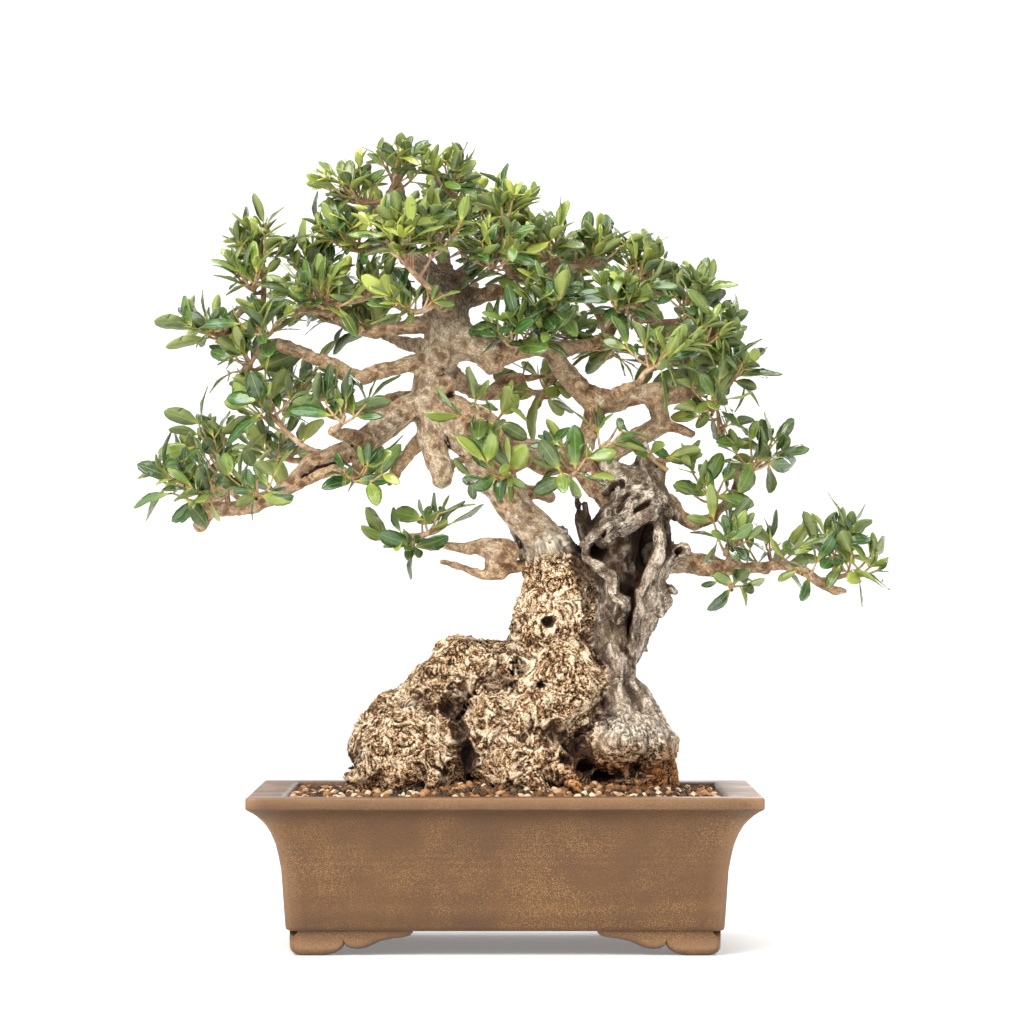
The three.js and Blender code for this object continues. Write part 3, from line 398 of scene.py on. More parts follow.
class Form:
    """A solid held as distances from its surface on a grid, less than nothing inside."""

    FAR = 30.0

    def __init__(self, low: Point3, high: Point3, step: float) -> None:
        """Makes an empty grid between two corners.

        Args:
            low: The lower corner.
            high: The upper corner.
            step: Distance between the grid's points.
        """
        self.low = np.array(low, float)
        self.step = step
        shape = np.ceil((np.array(high) - self.low) / step).astype(int) + 1
        self.values = np.full(shape, self.FAR, np.float32)

    def _window(self, low: Array, high: Array) -> tuple[tuple[slice, ...], Array] | None:
        """The part of the grid between two corners, as slices and the places of its points.

        Args:
            low: The lower corner.
            high: The upper corner.

        Returns:
            The slices and the places, or nothing where the grid has no such part.
        """
        first = np.maximum(np.floor((low - self.low) / self.step).astype(int), 0)
        last = np.minimum(
            np.ceil((high - self.low) / self.step).astype(int) + 1, self.values.shape
        )
        if (last <= first).any():
            return None
        lines = [
            self.low[a] + self.step * np.arange(first[a], last[a], dtype=np.float32)
            for a in range(3)
        ]
        places = np.stack(np.meshgrid(*lines, indexing="ij"), -1).astype(np.float32)
        return tuple(slice(a, b) for a, b in zip(first, last)), places

    def _blend(self, window: tuple[slice, ...], other: Array, soft: float, cut: bool) -> None:
        """Joins or cuts another distance field, with a fillet `soft` wide.

        Args:
            window: The part of the grid that it covers.
            other: Its distances there.
            soft: Width of the fillet.
            cut: Whether it is cut out instead.
        """
        mine = self.values[window]
        if cut:
            mine = -mine
        near = np.maximum(soft - np.abs(mine - other), 0) / soft
        joined = np.minimum(mine, other) - near * near * soft / 4
        self.values[window] = -joined if cut else joined

    def limb(self, line: Array, soft: float = 3.0, cut: bool = False) -> None:
        """Adds or cuts a round limb.

        Args:
            line: Its points, as (x, y, z, radius).
            soft: Width of the fillet where it joins.
            cut: Whether it is cut out instead.
        """
        margin = line[:, 3].max() + soft + 3 * self.step
        found = self._window(line[:, :3].min(0) - margin, line[:, :3].max(0) + margin)
        if found is None:
            return
        window, places = found
        nearest = np.full(places.shape[:3], self.FAR, np.float32)
        for start, end in zip(line, line[1:]):
            reach = max(start[3], end[3]) + soft + 3 * self.step
            low = np.minimum(start[:3], end[:3]) - reach
            high = np.maximum(start[:3], end[:3]) + reach
            origin = places[0, 0, 0]
            a = np.maximum(np.floor((low - origin) / self.step).astype(int), 0)
            b = np.ceil((high - origin) / self.step).astype(int) + 1
            part = (slice(a[0], b[0]), slice(a[1], b[1]), slice(a[2], b[2]))
            along = (end - start)[:3].astype(np.float32)
            away = places[part] - start[:3].astype(np.float32)
            share = np.clip(away @ along / max(float(along @ along), 1e-9), 0, 1)
            radius = start[3] + share * (end[3] - start[3])
            gap = np.linalg.norm(away - share[..., None] * along, axis=-1) - radius
            nearest[part] = np.minimum(nearest[part], gap)
        self._blend(window, nearest, soft, cut)

    def egg(self, sizes: Egg, soft: float = 4.0, cut: bool = False) -> None:
        """Adds or cuts an egg of (x, y, z, three reaches), with a fillet `soft` wide.

        Args:
            sizes: Its middle and its three reaches.
            soft: Width of the fillet where it joins.
            cut: Whether it is cut out instead.
        """
        centre, reach = np.array(sizes[:3], np.float32), np.array(sizes[3:], np.float32)
        margin = reach + soft + 3 * self.step
        found = self._window(centre - margin, centre + margin)
        if found is None:
            return
        window, places = found
        away = places - centre
        level = np.linalg.norm(away / reach, axis=-1)
        slope = np.linalg.norm(away / reach**2, axis=-1)
        self._blend(window, level * (level - 1) / np.maximum(slope, 1e-6), soft, cut)

    def warp(self, push: Callable[[Array], Array], band: float) -> None:
        """Moves the surface out or in.

        Args:
            push: How far out, in millimetres, at each of a row of places.
            band: Only grid points this near the surface are moved.
        """
        near = np.argwhere(np.abs(self.values) < band)
        moved = push(self.low + near * self.step)
        self.values[tuple(near.T)] -= moved

    def distance(self, points: Array) -> Array:
        """Distance from the surface at each place, less than nothing inside.

        Args:
            points: Places, in millimetres.

        Returns:
            A distance for each.
        """
        where = (np.asarray(points, float) - self.low) / self.step
        limit = np.array(self.values.shape) - 1.001
        outside = np.linalg.norm(where - np.clip(where, 0, limit), axis=1) * self.step
        where = np.clip(where, 0, limit)
        cell = where.astype(np.int64)
        share = where - cell
        total = np.zeros(len(where))
        for corner in np.ndindex(2, 2, 2):
            weight = np.ones(len(where))
            for axis, side in enumerate(corner):
                weight *= share[:, axis] if side else 1 - share[:, axis]
            i, j, k = (cell + corner).T
            total += weight * self.values[i, j, k]
        return total + outside

    def outward(self, points: Array) -> Array:
        """The way out of the surface at each place, one unit long.

        Args:
            points: Places, in millimetres.

        Returns:
            A direction for each.
        """
        reach = np.eye(3) * self.step
        slope = np.stack(
            [self.distance(points + r) - self.distance(points - r) for r in reach], 1
        )
        return slope / np.maximum(np.linalg.norm(slope, axis=1, keepdims=True), 1e-6)

    def seat(self, x: float, z: float, back: bool = False) -> float:
        """Where along Y the surface lies at (x, z), seen from the front or the back.

        Args:
            x: Place across.
            z: Height.
            back: Whether it is seen from the back.

        Returns:
            The place along Y, or 0 where nothing is there.
        """
        i, k = round((x - self.low[0]) / self.step), round((z - self.low[2]) / self.step)
        inside = np.flatnonzero(self.values[i, :, k] < 0)
        if not len(inside):
            return 0.0
        return float(self.low[1] + self.step * (inside[-1] if back else inside[0]))

    def surface(self) -> tuple[Array, Array]:
        """The solid's surface.

        Returns:
            Points, in millimetres, and faces of four of them.
        """
        inside = self.values < 0
        count = np.zeros(np.array(inside.shape) - 1, np.int8)
        corners = list(np.ndindex(2, 2, 2))
        for c in corners:
            count += inside[tuple(slice(s, n - 1 + s) for s, n in zip(c, inside.shape))]
        active = (count > 0) & (count < 8)
        index = np.full(active.shape, -1, np.int64)
        cells = np.argwhere(active)
        index[active] = np.arange(len(cells))
        total, hits = np.zeros((len(cells), 3)), np.zeros(len(cells))
        for c in corners:
            for axis in range(3):
                if c[axis]:
                    continue
                d = tuple(1 if a == axis else s for a, s in enumerate(c))
                va = self.values[tuple((cells + c).T)].astype(float)
                vb = self.values[tuple((cells + d).T)].astype(float)
                across = (va < 0) != (vb < 0)
                share = np.where(across, va / np.where(across, va - vb, 1), 0)
                place = np.array(c, float) + share[:, None] * (np.array(d) - np.array(c))
                total += np.where(across[:, None], place, 0)
                hits += across
        points = self.low + (cells + total / hits[:, None]) * self.step
        faces = []
        for a in range(3):
            b, c = (a + 1) % 3, (a + 2) % 3
            lower = [slice(1, -1)] * 3
            upper = [slice(1, -1)] * 3
            lower[a], upper[a] = slice(0, -1), slice(1, None)
            first, second = inside[tuple(lower)], inside[tuple(upper)]
            for out in (True, False):
                edges = np.argwhere(first & ~second if out else ~first & second)
                edges[:, b] += 1
                edges[:, c] += 1
                step_b, step_c = np.eye(3, dtype=int)[b], np.eye(3, dtype=int)[c]
                around = [edges - step_b - step_c, edges - step_c, edges, edges - step_b]
                quad = np.stack([index[tuple(e.T)] for e in around], 1)
                faces.append(quad if out else quad[:, ::-1])
        return points, np.concatenate(faces)


def make_mesh(
    name: str,
    points: Array,
    faces: Array | list[Array],
    materials: Iterable[bpy.types.Material],
    slots: Array | None = None,
    smooth: bool = True,
) -> bpy.types.Object:
    """A mesh object in the scene, at the origin.

    Args:
        name: Its name.
        points: Its points, in metres in the row frame.
        faces: Its faces, in one array of rows or several with rows of different lengths.
        materials: Its materials.
        slots: Which of them each face wears.
        smooth: Whether its faces are shaded smooth.

    Returns:
        The new object.
    """
    groups = faces if isinstance(faces, list) else [faces]
    corners = np.concatenate([g.ravel() for g in groups])
    sizes = np.concatenate([np.full(len(g), g.shape[1]) for g in groups])
    starts = np.concatenate([[0], np.cumsum(sizes)[:-1]])
    mesh = bpy.data.meshes.new(name)
    mesh.vertices.add(len(points))
    mesh.vertices.foreach_set("co", np.asarray(points, np.float32).ravel())
    mesh.loops.add(len(corners))
    mesh.loops.foreach_set("vertex_index", corners.astype(np.int32))
    mesh.polygons.add(len(sizes))
    mesh.polygons.foreach_set("loop_start", starts.astype(np.int32))
    mesh.polygons.foreach_set("use_smooth", np.full(len(sizes), smooth))
    for material in materials:
        mesh.materials.append(material)
    if slots is not None:
        mesh.polygons.foreach_set("material_index", slots.astype(np.int32))
    mesh.update(calc_edges=True)
    mesh.validate()
    made = bpy.data.objects.new(name, mesh)
    bpy.context.scene.collection.objects.link(made)
    return made


def lighten(points: Array, faces: Array, limit: int) -> tuple[Array, Array]:
    """Merges faces where a surface is flat, until few enough triangles are left.

    Args:
        points: The surface's points.
        faces: Its faces of four.
        limit: The most triangles to keep.

    Returns:
        Its points, and its triangles.
    """
    draft = make_mesh("draft", points, faces, [])
    cut = draft.modifiers.new("lighten", "DECIMATE")
    cut.ratio = min(1.0, limit / (2 * len(faces)))
    graph = bpy.context.evaluated_depsgraph_get()
    mesh = bpy.data.meshes.new_from_object(draft.evaluated_get(graph))
    bpy.data.objects.remove(draft)
    mesh.calc_loop_triangles()
    places = np.empty(3 * len(mesh.vertices), np.float32)
    mesh.vertices.foreach_get("co", places)
    corners = np.empty(3 * len(mesh.loop_triangles), np.int32)
    mesh.loop_triangles.foreach_get("vertices", corners)
    bpy.data.meshes.remove(mesh)
    return whole(places.reshape(-1, 3).astype(float), corners.reshape(-1, 3))


def whole(points: Array, faces: Array, least: int = 400) -> tuple[Array, Array]:
    """Drops the crumbs of a surface: its loose pieces of fewer than `least` points.

    Args:
        points: The surface's points.
        faces: Its triangles.
        least: The fewest points of a piece that stays.

    Returns:
        The points and the triangles that stay.
    """
    label = np.arange(len(points))
    ends = np.vstack([faces[:, :2], faces[:, 1:]])
    while True:
        low = label.copy()
        np.minimum.at(low, ends[:, 0], label[ends[:, 1]])
        np.minimum.at(low, ends[:, 1], label[ends[:, 0]])
        low = low[low]
        if (low == label).all():
            break
        label = low
    keep = np.bincount(label, minlength=len(points))[label] >= least
    index = np.cumsum(keep) - 1
    return points[keep], index[faces[keep[faces[:, 0]]]]


def set_values(made: bpy.types.Object, name: str, values: Array) -> None:
    """Writes a value for each point of a mesh, which its material reads by name."""
    layer = made.data.attributes.new(name, "FLOAT", "POINT")
    layer.data.foreach_set("value", values.astype(np.float32))


def set_vectors(made: bpy.types.Object, name: str, values: Array) -> None:
    """Writes a vector for each point of a mesh, which its material reads by name."""
    layer = made.data.attributes.new(name, "FLOAT_VECTOR", "POINT")
    layer.data.foreach_set("vector", values.astype(np.float32).ravel())


def hand_in(made: bpy.types.Object, slot: str, *nodes: str) -> bpy.types.Object:
    """Makes a piece ride on the part and stand for the nodes it replaces.

    Args:
        made: The piece.
        slot: Not used.
        nodes: The nodes of the frame that it replaces.

    Returns:
        The piece.
    """
    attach(made, "root")
    if nodes:
        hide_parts(*nodes)
    LOG.info("%s: %d points", made.name, len(made.data.vertices))
    return made


# ---- shader tools


def srgb(red: float, green: float, blue: float) -> Colour:
    """A colour as linear light.

    Args:
        red: Its red as on a screen, from 0 to 255.
        green: Its green.
        blue: Its blue.

    Returns:
        The colour, solid.
    """
    shares = (red / 255, green / 255, blue / 255)
    return (*(c / 12.92 if c <= 0.04045 else ((c + 0.055) / 1.055) ** 2.4 for c in shares), 1.0)


class Signal:
    """A value in a shader tree, which sums are written with as with plain numbers."""

    def __init__(self, graph: "Graph", socket: bpy.types.NodeSocket) -> None:
        """Keeps the tree's graph and the socket."""
        self.graph, self.socket = graph, socket

    def __add__(self, other: "Signal | float") -> "Signal":
        """This plus another."""
        return self.graph.math("ADD", self, other)

    def __radd__(self, other: float) -> "Signal":
        """A number plus this."""
        return self.graph.math("ADD", other, self)

    def __sub__(self, other: "Signal | float") -> "Signal":
        """This less another."""
        return self.graph.math("SUBTRACT", self, other)

    def __mul__(self, other: "Signal | float") -> "Signal":
        """This times another."""
        return self.graph.math("MULTIPLY", self, other)

    def __rtruediv__(self, other: float) -> "Signal":
        """A number shared out by this."""
        return self.graph.math("DIVIDE", other, self)

    def __abs__(self) -> "Signal":
        """Its size without its sign."""
        return self.graph.math("ABSOLUTE", self)


Input = Signal | float | Point3 | Colour


class Graph:
    """Adds nodes to a shader tree, with a short call for each kind of step."""

    def __init__(self, tree: bpy.types.NodeTree) -> None:
        """Keeps the tree."""
        self.tree = tree

    def feed(self, socket: bpy.types.NodeSocket, value: Input) -> None:
        """Links a signal to a socket, or sets its value.

        Args:
            socket: The socket.
            value: What it gets.
        """
        if isinstance(value, Signal):
            self.tree.links.new(value.socket, socket)
        else:
            socket.default_value = value

    def add(self, kind: str, inputs: dict | None = None, **settings: object) -> bpy.types.Node:
        """Adds one node.

        Args:
            kind: Its type, such as ShaderNodeMath.
            inputs: What its inputs get, by name or number.
            settings: Its own properties.

        Returns:
            The node.
        """
        made = self.tree.nodes.new(kind)
        for name, value in settings.items():
            setattr(made, name, value)
        for key, value in (inputs or {}).items():
            self.feed(made.inputs[key], value)
        return made

    def out(self, kind: str, inputs: dict, output: int | str = 0, **settings: object) -> Signal:
        """One output of a new node, which `add` makes from the same kind, inputs and settings."""
        return Signal(self, self.add(kind, inputs, **settings).outputs[output])

    def math(self, operation: str, *values: Input) -> Signal:
        """The result of one sum, such as MULTIPLY, on signals or numbers."""
        return self.out("ShaderNodeMath", dict(enumerate(values)), operation=operation)

    def blend(self, share: Input, first: Input, second: Input, mode: str = "MIX") -> Signal:
        """The first colour with a share of the second over it."""
        inputs = {"Factor": share, 6: first, 7: second}
        return self.out("ShaderNodeMix", inputs, 2, data_type="RGBA", blend_type=mode)

    def pick(self, share: Input, first: Input, second: Input) -> Signal:
        """The first value with a share of the second."""
        return self.out("ShaderNodeMix", {0: share, 2: first, 3: second})

    def ramp(self, value: Signal, stops: list[tuple[float, Colour]]) -> Signal:
        """The colour at a value.

        Args:
            value: The value.
            stops: Places from 0 to 1, each with its colour.

        Returns:
            The colour between the stops on either side.
        """
        made = self.add("ShaderNodeValToRGB", {0: value})
        elements = made.color_ramp.elements
        while len(elements) < len(stops):
            elements.new(0.5)
        for element, stop in zip(elements, stops):
            element.position, element.color = stop
        return Signal(self, made.outputs[0])

    def step(self, value: Input, low: float, high: float, to: tuple = (0.0, 1.0)) -> Signal:
        """A smooth rise from `to[0]` below `low` to `to[1]` above `high`."""
        inputs = {"Value": value, 1: low, 2: high, 3: to[0], 4: to[1]}
        return self.out("ShaderNodeMapRange", inputs, interpolation_type="SMOOTHSTEP")

    def noise(self, where: Signal, width: float, detail: float = 2.0, bend: float = 0.0) -> Signal:
        """Noise from 0 to 1 with features `width` millimetres wide."""
        inputs = {"Vector": where, "Scale": 1 / width, "Detail": detail, "Distortion": bend}
        return self.out("ShaderNodeTexNoise", inputs)

    def value(self, name: str) -> Signal:
        """A number that the mesh holds for each point."""
        return self.out("ShaderNodeAttribute", {}, "Fac", attribute_name=name)

    def vector(self, name: str) -> Signal:
        """A vector that the mesh holds for each point."""
        return self.out("ShaderNodeAttribute", {}, "Vector", attribute_name=name)

    def millimetres(self) -> Signal:
        """Places on the piece, in millimetres."""
        return self.stretch(self.out("ShaderNodeTexCoord", {}, "Object"), (1 / MM,) * 3)

    def part(self, where: Signal, axis: int) -> Signal:
        """One number of a vector."""
        return self.out("ShaderNodeSeparateXYZ", {0: where}, axis)

    def stretch(self, where: Signal, by: Point3) -> Signal:
        """Places multiplied by three numbers."""
        return self.out("ShaderNodeVectorMath", {0: where, 1: by}, operation="MULTIPLY")

    def shifted(self, where: Signal, width: float, reach: float) -> Signal:
        """Places moved about by noise.

        Args:
            where: The places.
            width: Width of the noise's features.
            reach: About how far it moves them.

        Returns:
            The moved places.
        """
        inputs = {"Vector": where, "Scale": 1 / width, "Detail": 2.0}
        inputs = {0: self.out("ShaderNodeTexNoise", inputs, "Color"), 1: (reach,) * 3, 2: where}
        return self.out("ShaderNodeVectorMath", inputs, operation="MULTIPLY_ADD")

    def group(self, tree: bpy.types.NodeTree, **inputs: Input) -> Signal:
        """A shared effect placed in this tree.

        Args:
            tree: The effect's group.
            inputs: What its inputs get, by name.

        Returns:
            Its result.
        """
        made = self.add("ShaderNodeGroup")
        made.node_tree = tree
        for name, value in inputs.items():
            self.feed(made.inputs[name], value)
        return Signal(self, made.outputs[0])

    def mottle(self, where: Signal, width: float) -> Signal:
        """Soft clouds `width` millimetres wide, from the shared effect."""
        return self.group(Effects.mottle(), Vector=where, Width=width)

    def speckle(self, where: Signal, width: float, cover: float) -> Signal:
        """Flecks `width` millimetres wide on a share of the surface, from the shared effect."""
        return self.group(Effects.speckle(), Vector=where, Width=width, Cover=cover)

    def wrinkles(self, where: Signal, width: float, bend: float) -> Signal:
        """Ridges `width` millimetres wide, bent by a share, from the shared effect."""
        return self.group(Effects.wrinkles(), Vector=where, Width=width, Bend=bend)


class Effects:
    """The shader groups that several finishes share, each built once."""

    _made: dict[str, bpy.types.NodeTree] = {}

    @classmethod
    def _group(
        cls, name: str, inputs: list[str], output: str, fill: Callable[..., Signal]
    ) -> bpy.types.NodeTree:
        """A group, built the first time that it is asked for.

        Args:
            name: Its name.
            inputs: Names of its inputs after Vector, each a number.
            output: Name of its output, a number.
            fill: Adds its nodes, from its graph and its inputs in order, and returns the result.

        Returns:
            The group.
        """
        if name not in cls._made:
            tree = bpy.data.node_groups.new(name, "ShaderNodeTree")
            tree.interface.new_socket("Vector", in_out="INPUT", socket_type="NodeSocketVector")
            for label in inputs:
                tree.interface.new_socket(label, in_out="INPUT", socket_type="NodeSocketFloat")
            tree.interface.new_socket(output, in_out="OUTPUT", socket_type="NodeSocketFloat")
            graph = Graph(tree)
            start = graph.add("NodeGroupInput")
            given = [Signal(graph, start.outputs[label]) for label in ("Vector", *inputs)]
            graph.add("NodeGroupOutput", {output: fill(graph, *given)})
            cls._made[name] = tree
        return cls._made[name]

    @classmethod
    def mottle(cls) -> bpy.types.NodeTree:
        """Soft clouds of tone.

        Returns:
            The group: Vector and Width in, Value out, about 0.5 in the middle.
        """

        def fill(graph: Graph, where: Signal, width: Signal) -> Signal:
            """Cloudy noise at a width."""
            inputs = {"Vector": where, "Scale": 1.0 / width, "Detail": 4.0}
            return graph.step(graph.out("ShaderNodeTexNoise", inputs), 0.32, 0.68)

        return cls._group("Mottle", ["Width"], "Value", fill)

    @classmethod
    def speckle(cls) -> bpy.types.NodeTree:
        """Scattered flecks.

        Returns:
            The group: Vector, Width and Cover in, Mask out.
        """

        def fill(graph: Graph, where: Signal, width: Signal, cover: Signal) -> Signal:
            """Round flecks in a share of the cells of a width.

            Args:
                graph: The group's graph.
                where: Places.
                width: Width of a cell.
                cover: Share of the cells.

            Returns:
                The mask.
            """
            cell = graph.add("ShaderNodeTexVoronoi", {"Vector": where, "Scale": 1.0 / width})
            chosen = graph.math("LESS_THAN", Signal(graph, cell.outputs["Color"]), cover)
            distance = Signal(graph, cell.outputs["Distance"])
            return chosen * graph.step(distance, 0.25, 0.45, (1.0, 0.0))

        return cls._group("Speckle", ["Width", "Cover"], "Mask", fill)

    @classmethod
    def wrinkles(cls) -> bpy.types.NodeTree:
        """Worm-like ridges and the cracks between them.

        Returns:
            The group: Vector, Width and Bend in, Crest out.
        """

        def fill(graph: Graph, where: Signal, width: Signal, bend: Signal) -> Signal:
            """Folds where noise of a width, bent by a share, crosses its middle.

            Args:
                graph: The group's graph.
                where: Places.
                width: Width of the folds.
                bend: How far they bend.

            Returns:
                The crests.
            """
            inputs = {"Vector": where, "Scale": 1.0 / width, "Detail": 3.0, "Roughness": 0.55,
                      "Distortion": bend}
            fold = abs(graph.out("ShaderNodeTexNoise", inputs) - 0.5)
            return graph.step(fold, 0.005, 0.12)

        return cls._group("Wrinkles", ["Width", "Bend"], "Crest", fill)


@dataclass(frozen=True)
class Finish:
    """A material round one Principled shader, which each kind of finish dresses."""

    NAME = "finish"
    BUMP = (0.5, 0.3)  # strength, and depth in millimetres
    CONSTANTS = {}  # inputs of the shader that are the same all over

    def label(self) -> str:
        """The material's name."""
        return self.NAME

    def constants(self) -> dict[str, float]:
        """Inputs of the shader that are the same all over, by name."""
        return self.CONSTANTS

    def dress(self, graph: Graph) -> dict[str, Signal]:
        """Adds the finish's nodes.

        Args:
            graph: The material's graph.

        Returns:
            Inputs of the shader by name, where Height feeds the bump.
        """
        raise NotImplementedError

    def material(self) -> bpy.types.Material:
        """Makes the material.

        Returns:
            The material.
        """
        material = bpy.data.materials.new(self.label())
        material.use_nodes = True
        graph = Graph(material.node_tree)
        shader = material.node_tree.nodes["Principled BSDF"]
        for label, value in self.constants().items():
            shader.inputs[label].default_value = value
        inputs = self.dress(graph)
        if "Height" in inputs:
            strength, depth = self.BUMP
            lift = {"Strength": strength, "Distance": depth * MM, "Height": inputs.pop("Height")}
            inputs["Normal"] = graph.out("ShaderNodeBump", lift)
        for label, signal in inputs.items():
            graph.feed(shader.inputs[label], signal)
        return material


# ---- the finishes


@dataclass(frozen=True)
class ClayFinish(Finish):
    """Unglazed fired clay, warm brown with fine tan and dark flecks, lighter where its edges wear,
    with painted highlight on the lip and feet and painted shade under the lip, inside the rim and
    low down.
    """

    NAME = "unglazed_clay"
    BUMP = (0.3, 0.16)
    CONSTANTS = {"Specular IOR Level": 0.36}
    body: Colour = srgb(99, 69, 41)
    deep: Colour = srgb(84, 57, 34)
    # Lighter tone for wear on the corners and painted highlight on the lip and feet.
    rubbed_and_highlight: Colour = srgb(150, 116, 86)
    fleck: Colour = srgb(188, 142, 84)
    # Dark grit for specks and brushed lines, and also the colour of the painted shade.
    grit: Colour = srgb(62, 40, 24)
    lip: tuple[float, float] = (84.0, 87.0)  # heights between which the brushed lip begins

    def dress(self, graph: Graph) -> dict[str, Signal]:
        """Clouds, flecks, edges lightened by wear and painted highlight, and painted shade, over
        fine grain.

        Args:
            graph: The material's graph.

        Returns:
            Inputs of the shader by name.
        """
        where = graph.millimetres()
        clouds = graph.mottle(where, 26.0)
        fine = graph.noise(where, 0.9, 3.0)
        brushed = graph.noise(graph.stretch(where, (0.12, 0.12, 1.0)), 1.8, 3.0)
        colour = graph.blend(clouds, self.deep, self.body)
        tone = (fine + brushed) * 0.42
        colour = graph.blend(tone, colour, self.body)
        pale = graph.speckle(where, 0.75, 0.5)
        dark = graph.speckle(where, 1.1, 0.3)
        dusted = graph.mottle(where, 38.0)
        gold = graph.step(graph.noise(where, 0.62, 2.0), 0.5, 0.68, (0.0, 0.5))
        share = pale * graph.step(dusted, 0, 1, (0.14, 0.5))
        share = graph.math("MAXIMUM", share, gold * dusted)
        colour = graph.blend(share, colour, self.fleck)
        lines = graph.step(brushed, 0.36, 0.5, (0.3, 0.0))
        lip = graph.step(graph.part(where, 2), *self.lip)
        colour = graph.blend(lines * lip, colour, self.grit)
        share = dark * 0.4
        colour = graph.blend(share, colour, self.grit)
        # Lighter where the edge value is high: wear on the upright corners, painted highlight with
        # wear on the lip's top and the feet's lobes.
        wear_and_highlight = graph.value("edge") * (0.35 + fine)
        colour = graph.blend(wear_and_highlight, colour, self.rubbed_and_highlight)
        # Painted shade in the grit colour: under the lip, inside the rim, low on the pot and on the
        # feet under it.
        shade = graph.value("shade") * 0.55
        colour = graph.blend(shade, colour, self.grit)
        rough = graph.step(clouds, 0.0, 1.0, (0.38, 0.52))
        height = fine + brushed * 0.7
        height = height - dark * 0.5
        return {"Base Color": colour, "Roughness": rough, "Height": height}


@dataclass(frozen=True)
class RoughBarkFinish(Finish):
    """Bark of the burls and the grey weathered wood of the dead trunk, told apart by the mesh."""

    NAME = "burl_bark"
    BUMP = (0.8, 0.8)
    CONSTANTS = {"Specular IOR Level": 0.3}
    crest: Colour = srgb(255, 242, 216)
    cream: Colour = srgb(222, 188, 140)
    tan: Colour = srgb(158, 110, 62)
    brown: Colour = srgb(78, 48, 25)
    crevice_and_shade: Colour = srgb(15, 9, 5)
    rust: Colour = srgb(222, 172, 124)
    dead_pale: Colour = srgb(248, 236, 218)
    dead_grey: Colour = srgb(134, 119, 102)
    dead_warm: Colour = srgb(156, 126, 94)
    dead_dark: Colour = srgb(22, 17, 13)
    inner: Colour = srgb(104, 88, 72)
    # Near black, for the painted shade of the deepest holes.
    hollow: Colour = srgb(14, 10, 8)

    def dress(self, graph: Graph) -> dict[str, Signal]:
        """Pale crests and dark cracks on the mesh's own bands, with finer grain between, partly
        painted light, and painted shade in coves and hollows.

        Args:
            graph: The material's graph.

        Returns:
            Inputs of the shader by name.
        """
        where = graph.millimetres()
        crest = graph.value("crest")
        crumbs = graph.wrinkles(where, 3.0, 1.6)
        fine = graph.wrinkles(where, 1.6, 0.8)
        grain = graph.noise(where, 0.9, 3.0)
        patches = graph.mottle(where, 17.0)
        chips = crumbs * 0.42 + fine * 0.3
        chips = grain * 0.34 + chips
        level = crest * 0.78 + (chips - 0.58)
        level = patches * 0.26 + (level - 0.06)
        # Bark tone by relief, with painted light: the near-black end stands in partly for shade in
        # the cracks, and the near-white crest partly for highlight on the ridges.
        stops = [(0.03, self.crevice_and_shade), (0.14, self.brown), (0.3, self.tan),
                 (0.48, self.cream), (0.7, self.crest)]
        bark = graph.ramp(level, stops)
        warm = graph.value("rust") * (patches + 0.35)
        bark = graph.blend(warm, bark, self.rust, "MULTIPLY")
        along = graph.shifted(graph.vector("grain"), 14.0, 4.0)
        fibres = graph.noise(graph.stretch(along, (1.0, 1.0, 0.2)), 1.7, 4.0, 0.5)
        streaks = graph.noise(graph.stretch(along, (1.0, 1.0, 0.35)), 4.4, 4.0, 1.2)
        split = abs(streaks - 0.5)
        split = graph.step(split, 0.0, 0.035, (0.35, 1.0))
        fibre = crest * 0.62 + fibres * 0.5
        fibre = crumbs * 0.2 + (fibre - 0.24)
        fibre = fibre * split
        fibre = patches * 0.12 + (fibre - 0.05)
        stops = [(0.08, self.dead_dark), (0.34, self.dead_grey), (0.66, self.dead_pale)]
        dead = graph.ramp(fibre, stops)
        dead = graph.blend(patches * 0.34, dead, self.dead_warm)
        rusted = warm * 0.6
        dead = graph.blend(rusted, dead, self.rust, "MULTIPLY")
        sunk = graph.value("inner") * 0.85
        dead = graph.blend(sunk, dead, self.inner, "MULTIPLY")
        is_dead = graph.value("dead")
        colour = graph.blend(is_dead, bark, dead)
        pale = graph.blend(graph.step(streaks, 0.3, 0.7), self.dead_grey, self.crest)
        colour = graph.blend(graph.value("smooth"), colour, pale)
        # Painted shade in the coves between the lobes, with the base also darker towards the soil.
        cove = graph.step(graph.value("cove"), 0.1, 0.8, (0.0, 0.72))
        colour = graph.blend(cove, colour, self.brown, "MULTIPLY")
        # Painted shade in hollows: browner where sunk, near black in the deepest holes and the
        # mouth.
        shade = graph.step(graph.value("hollow"), 0.35, 0.85, (0.0, 0.6))
        colour = graph.blend(shade, colour, self.brown)
        dark = graph.step(graph.value("hollow"), 0.75, 1.0, (0.0, 0.92))
        colour = graph.blend(dark, colour, self.hollow)
        lift = graph.pick(is_dead, level, fibre)
        rough = graph.step(grain, 0.2, 0.8, (0.72, 0.95))
        return {"Base Color": colour, "Roughness": rough, "Height": lift}


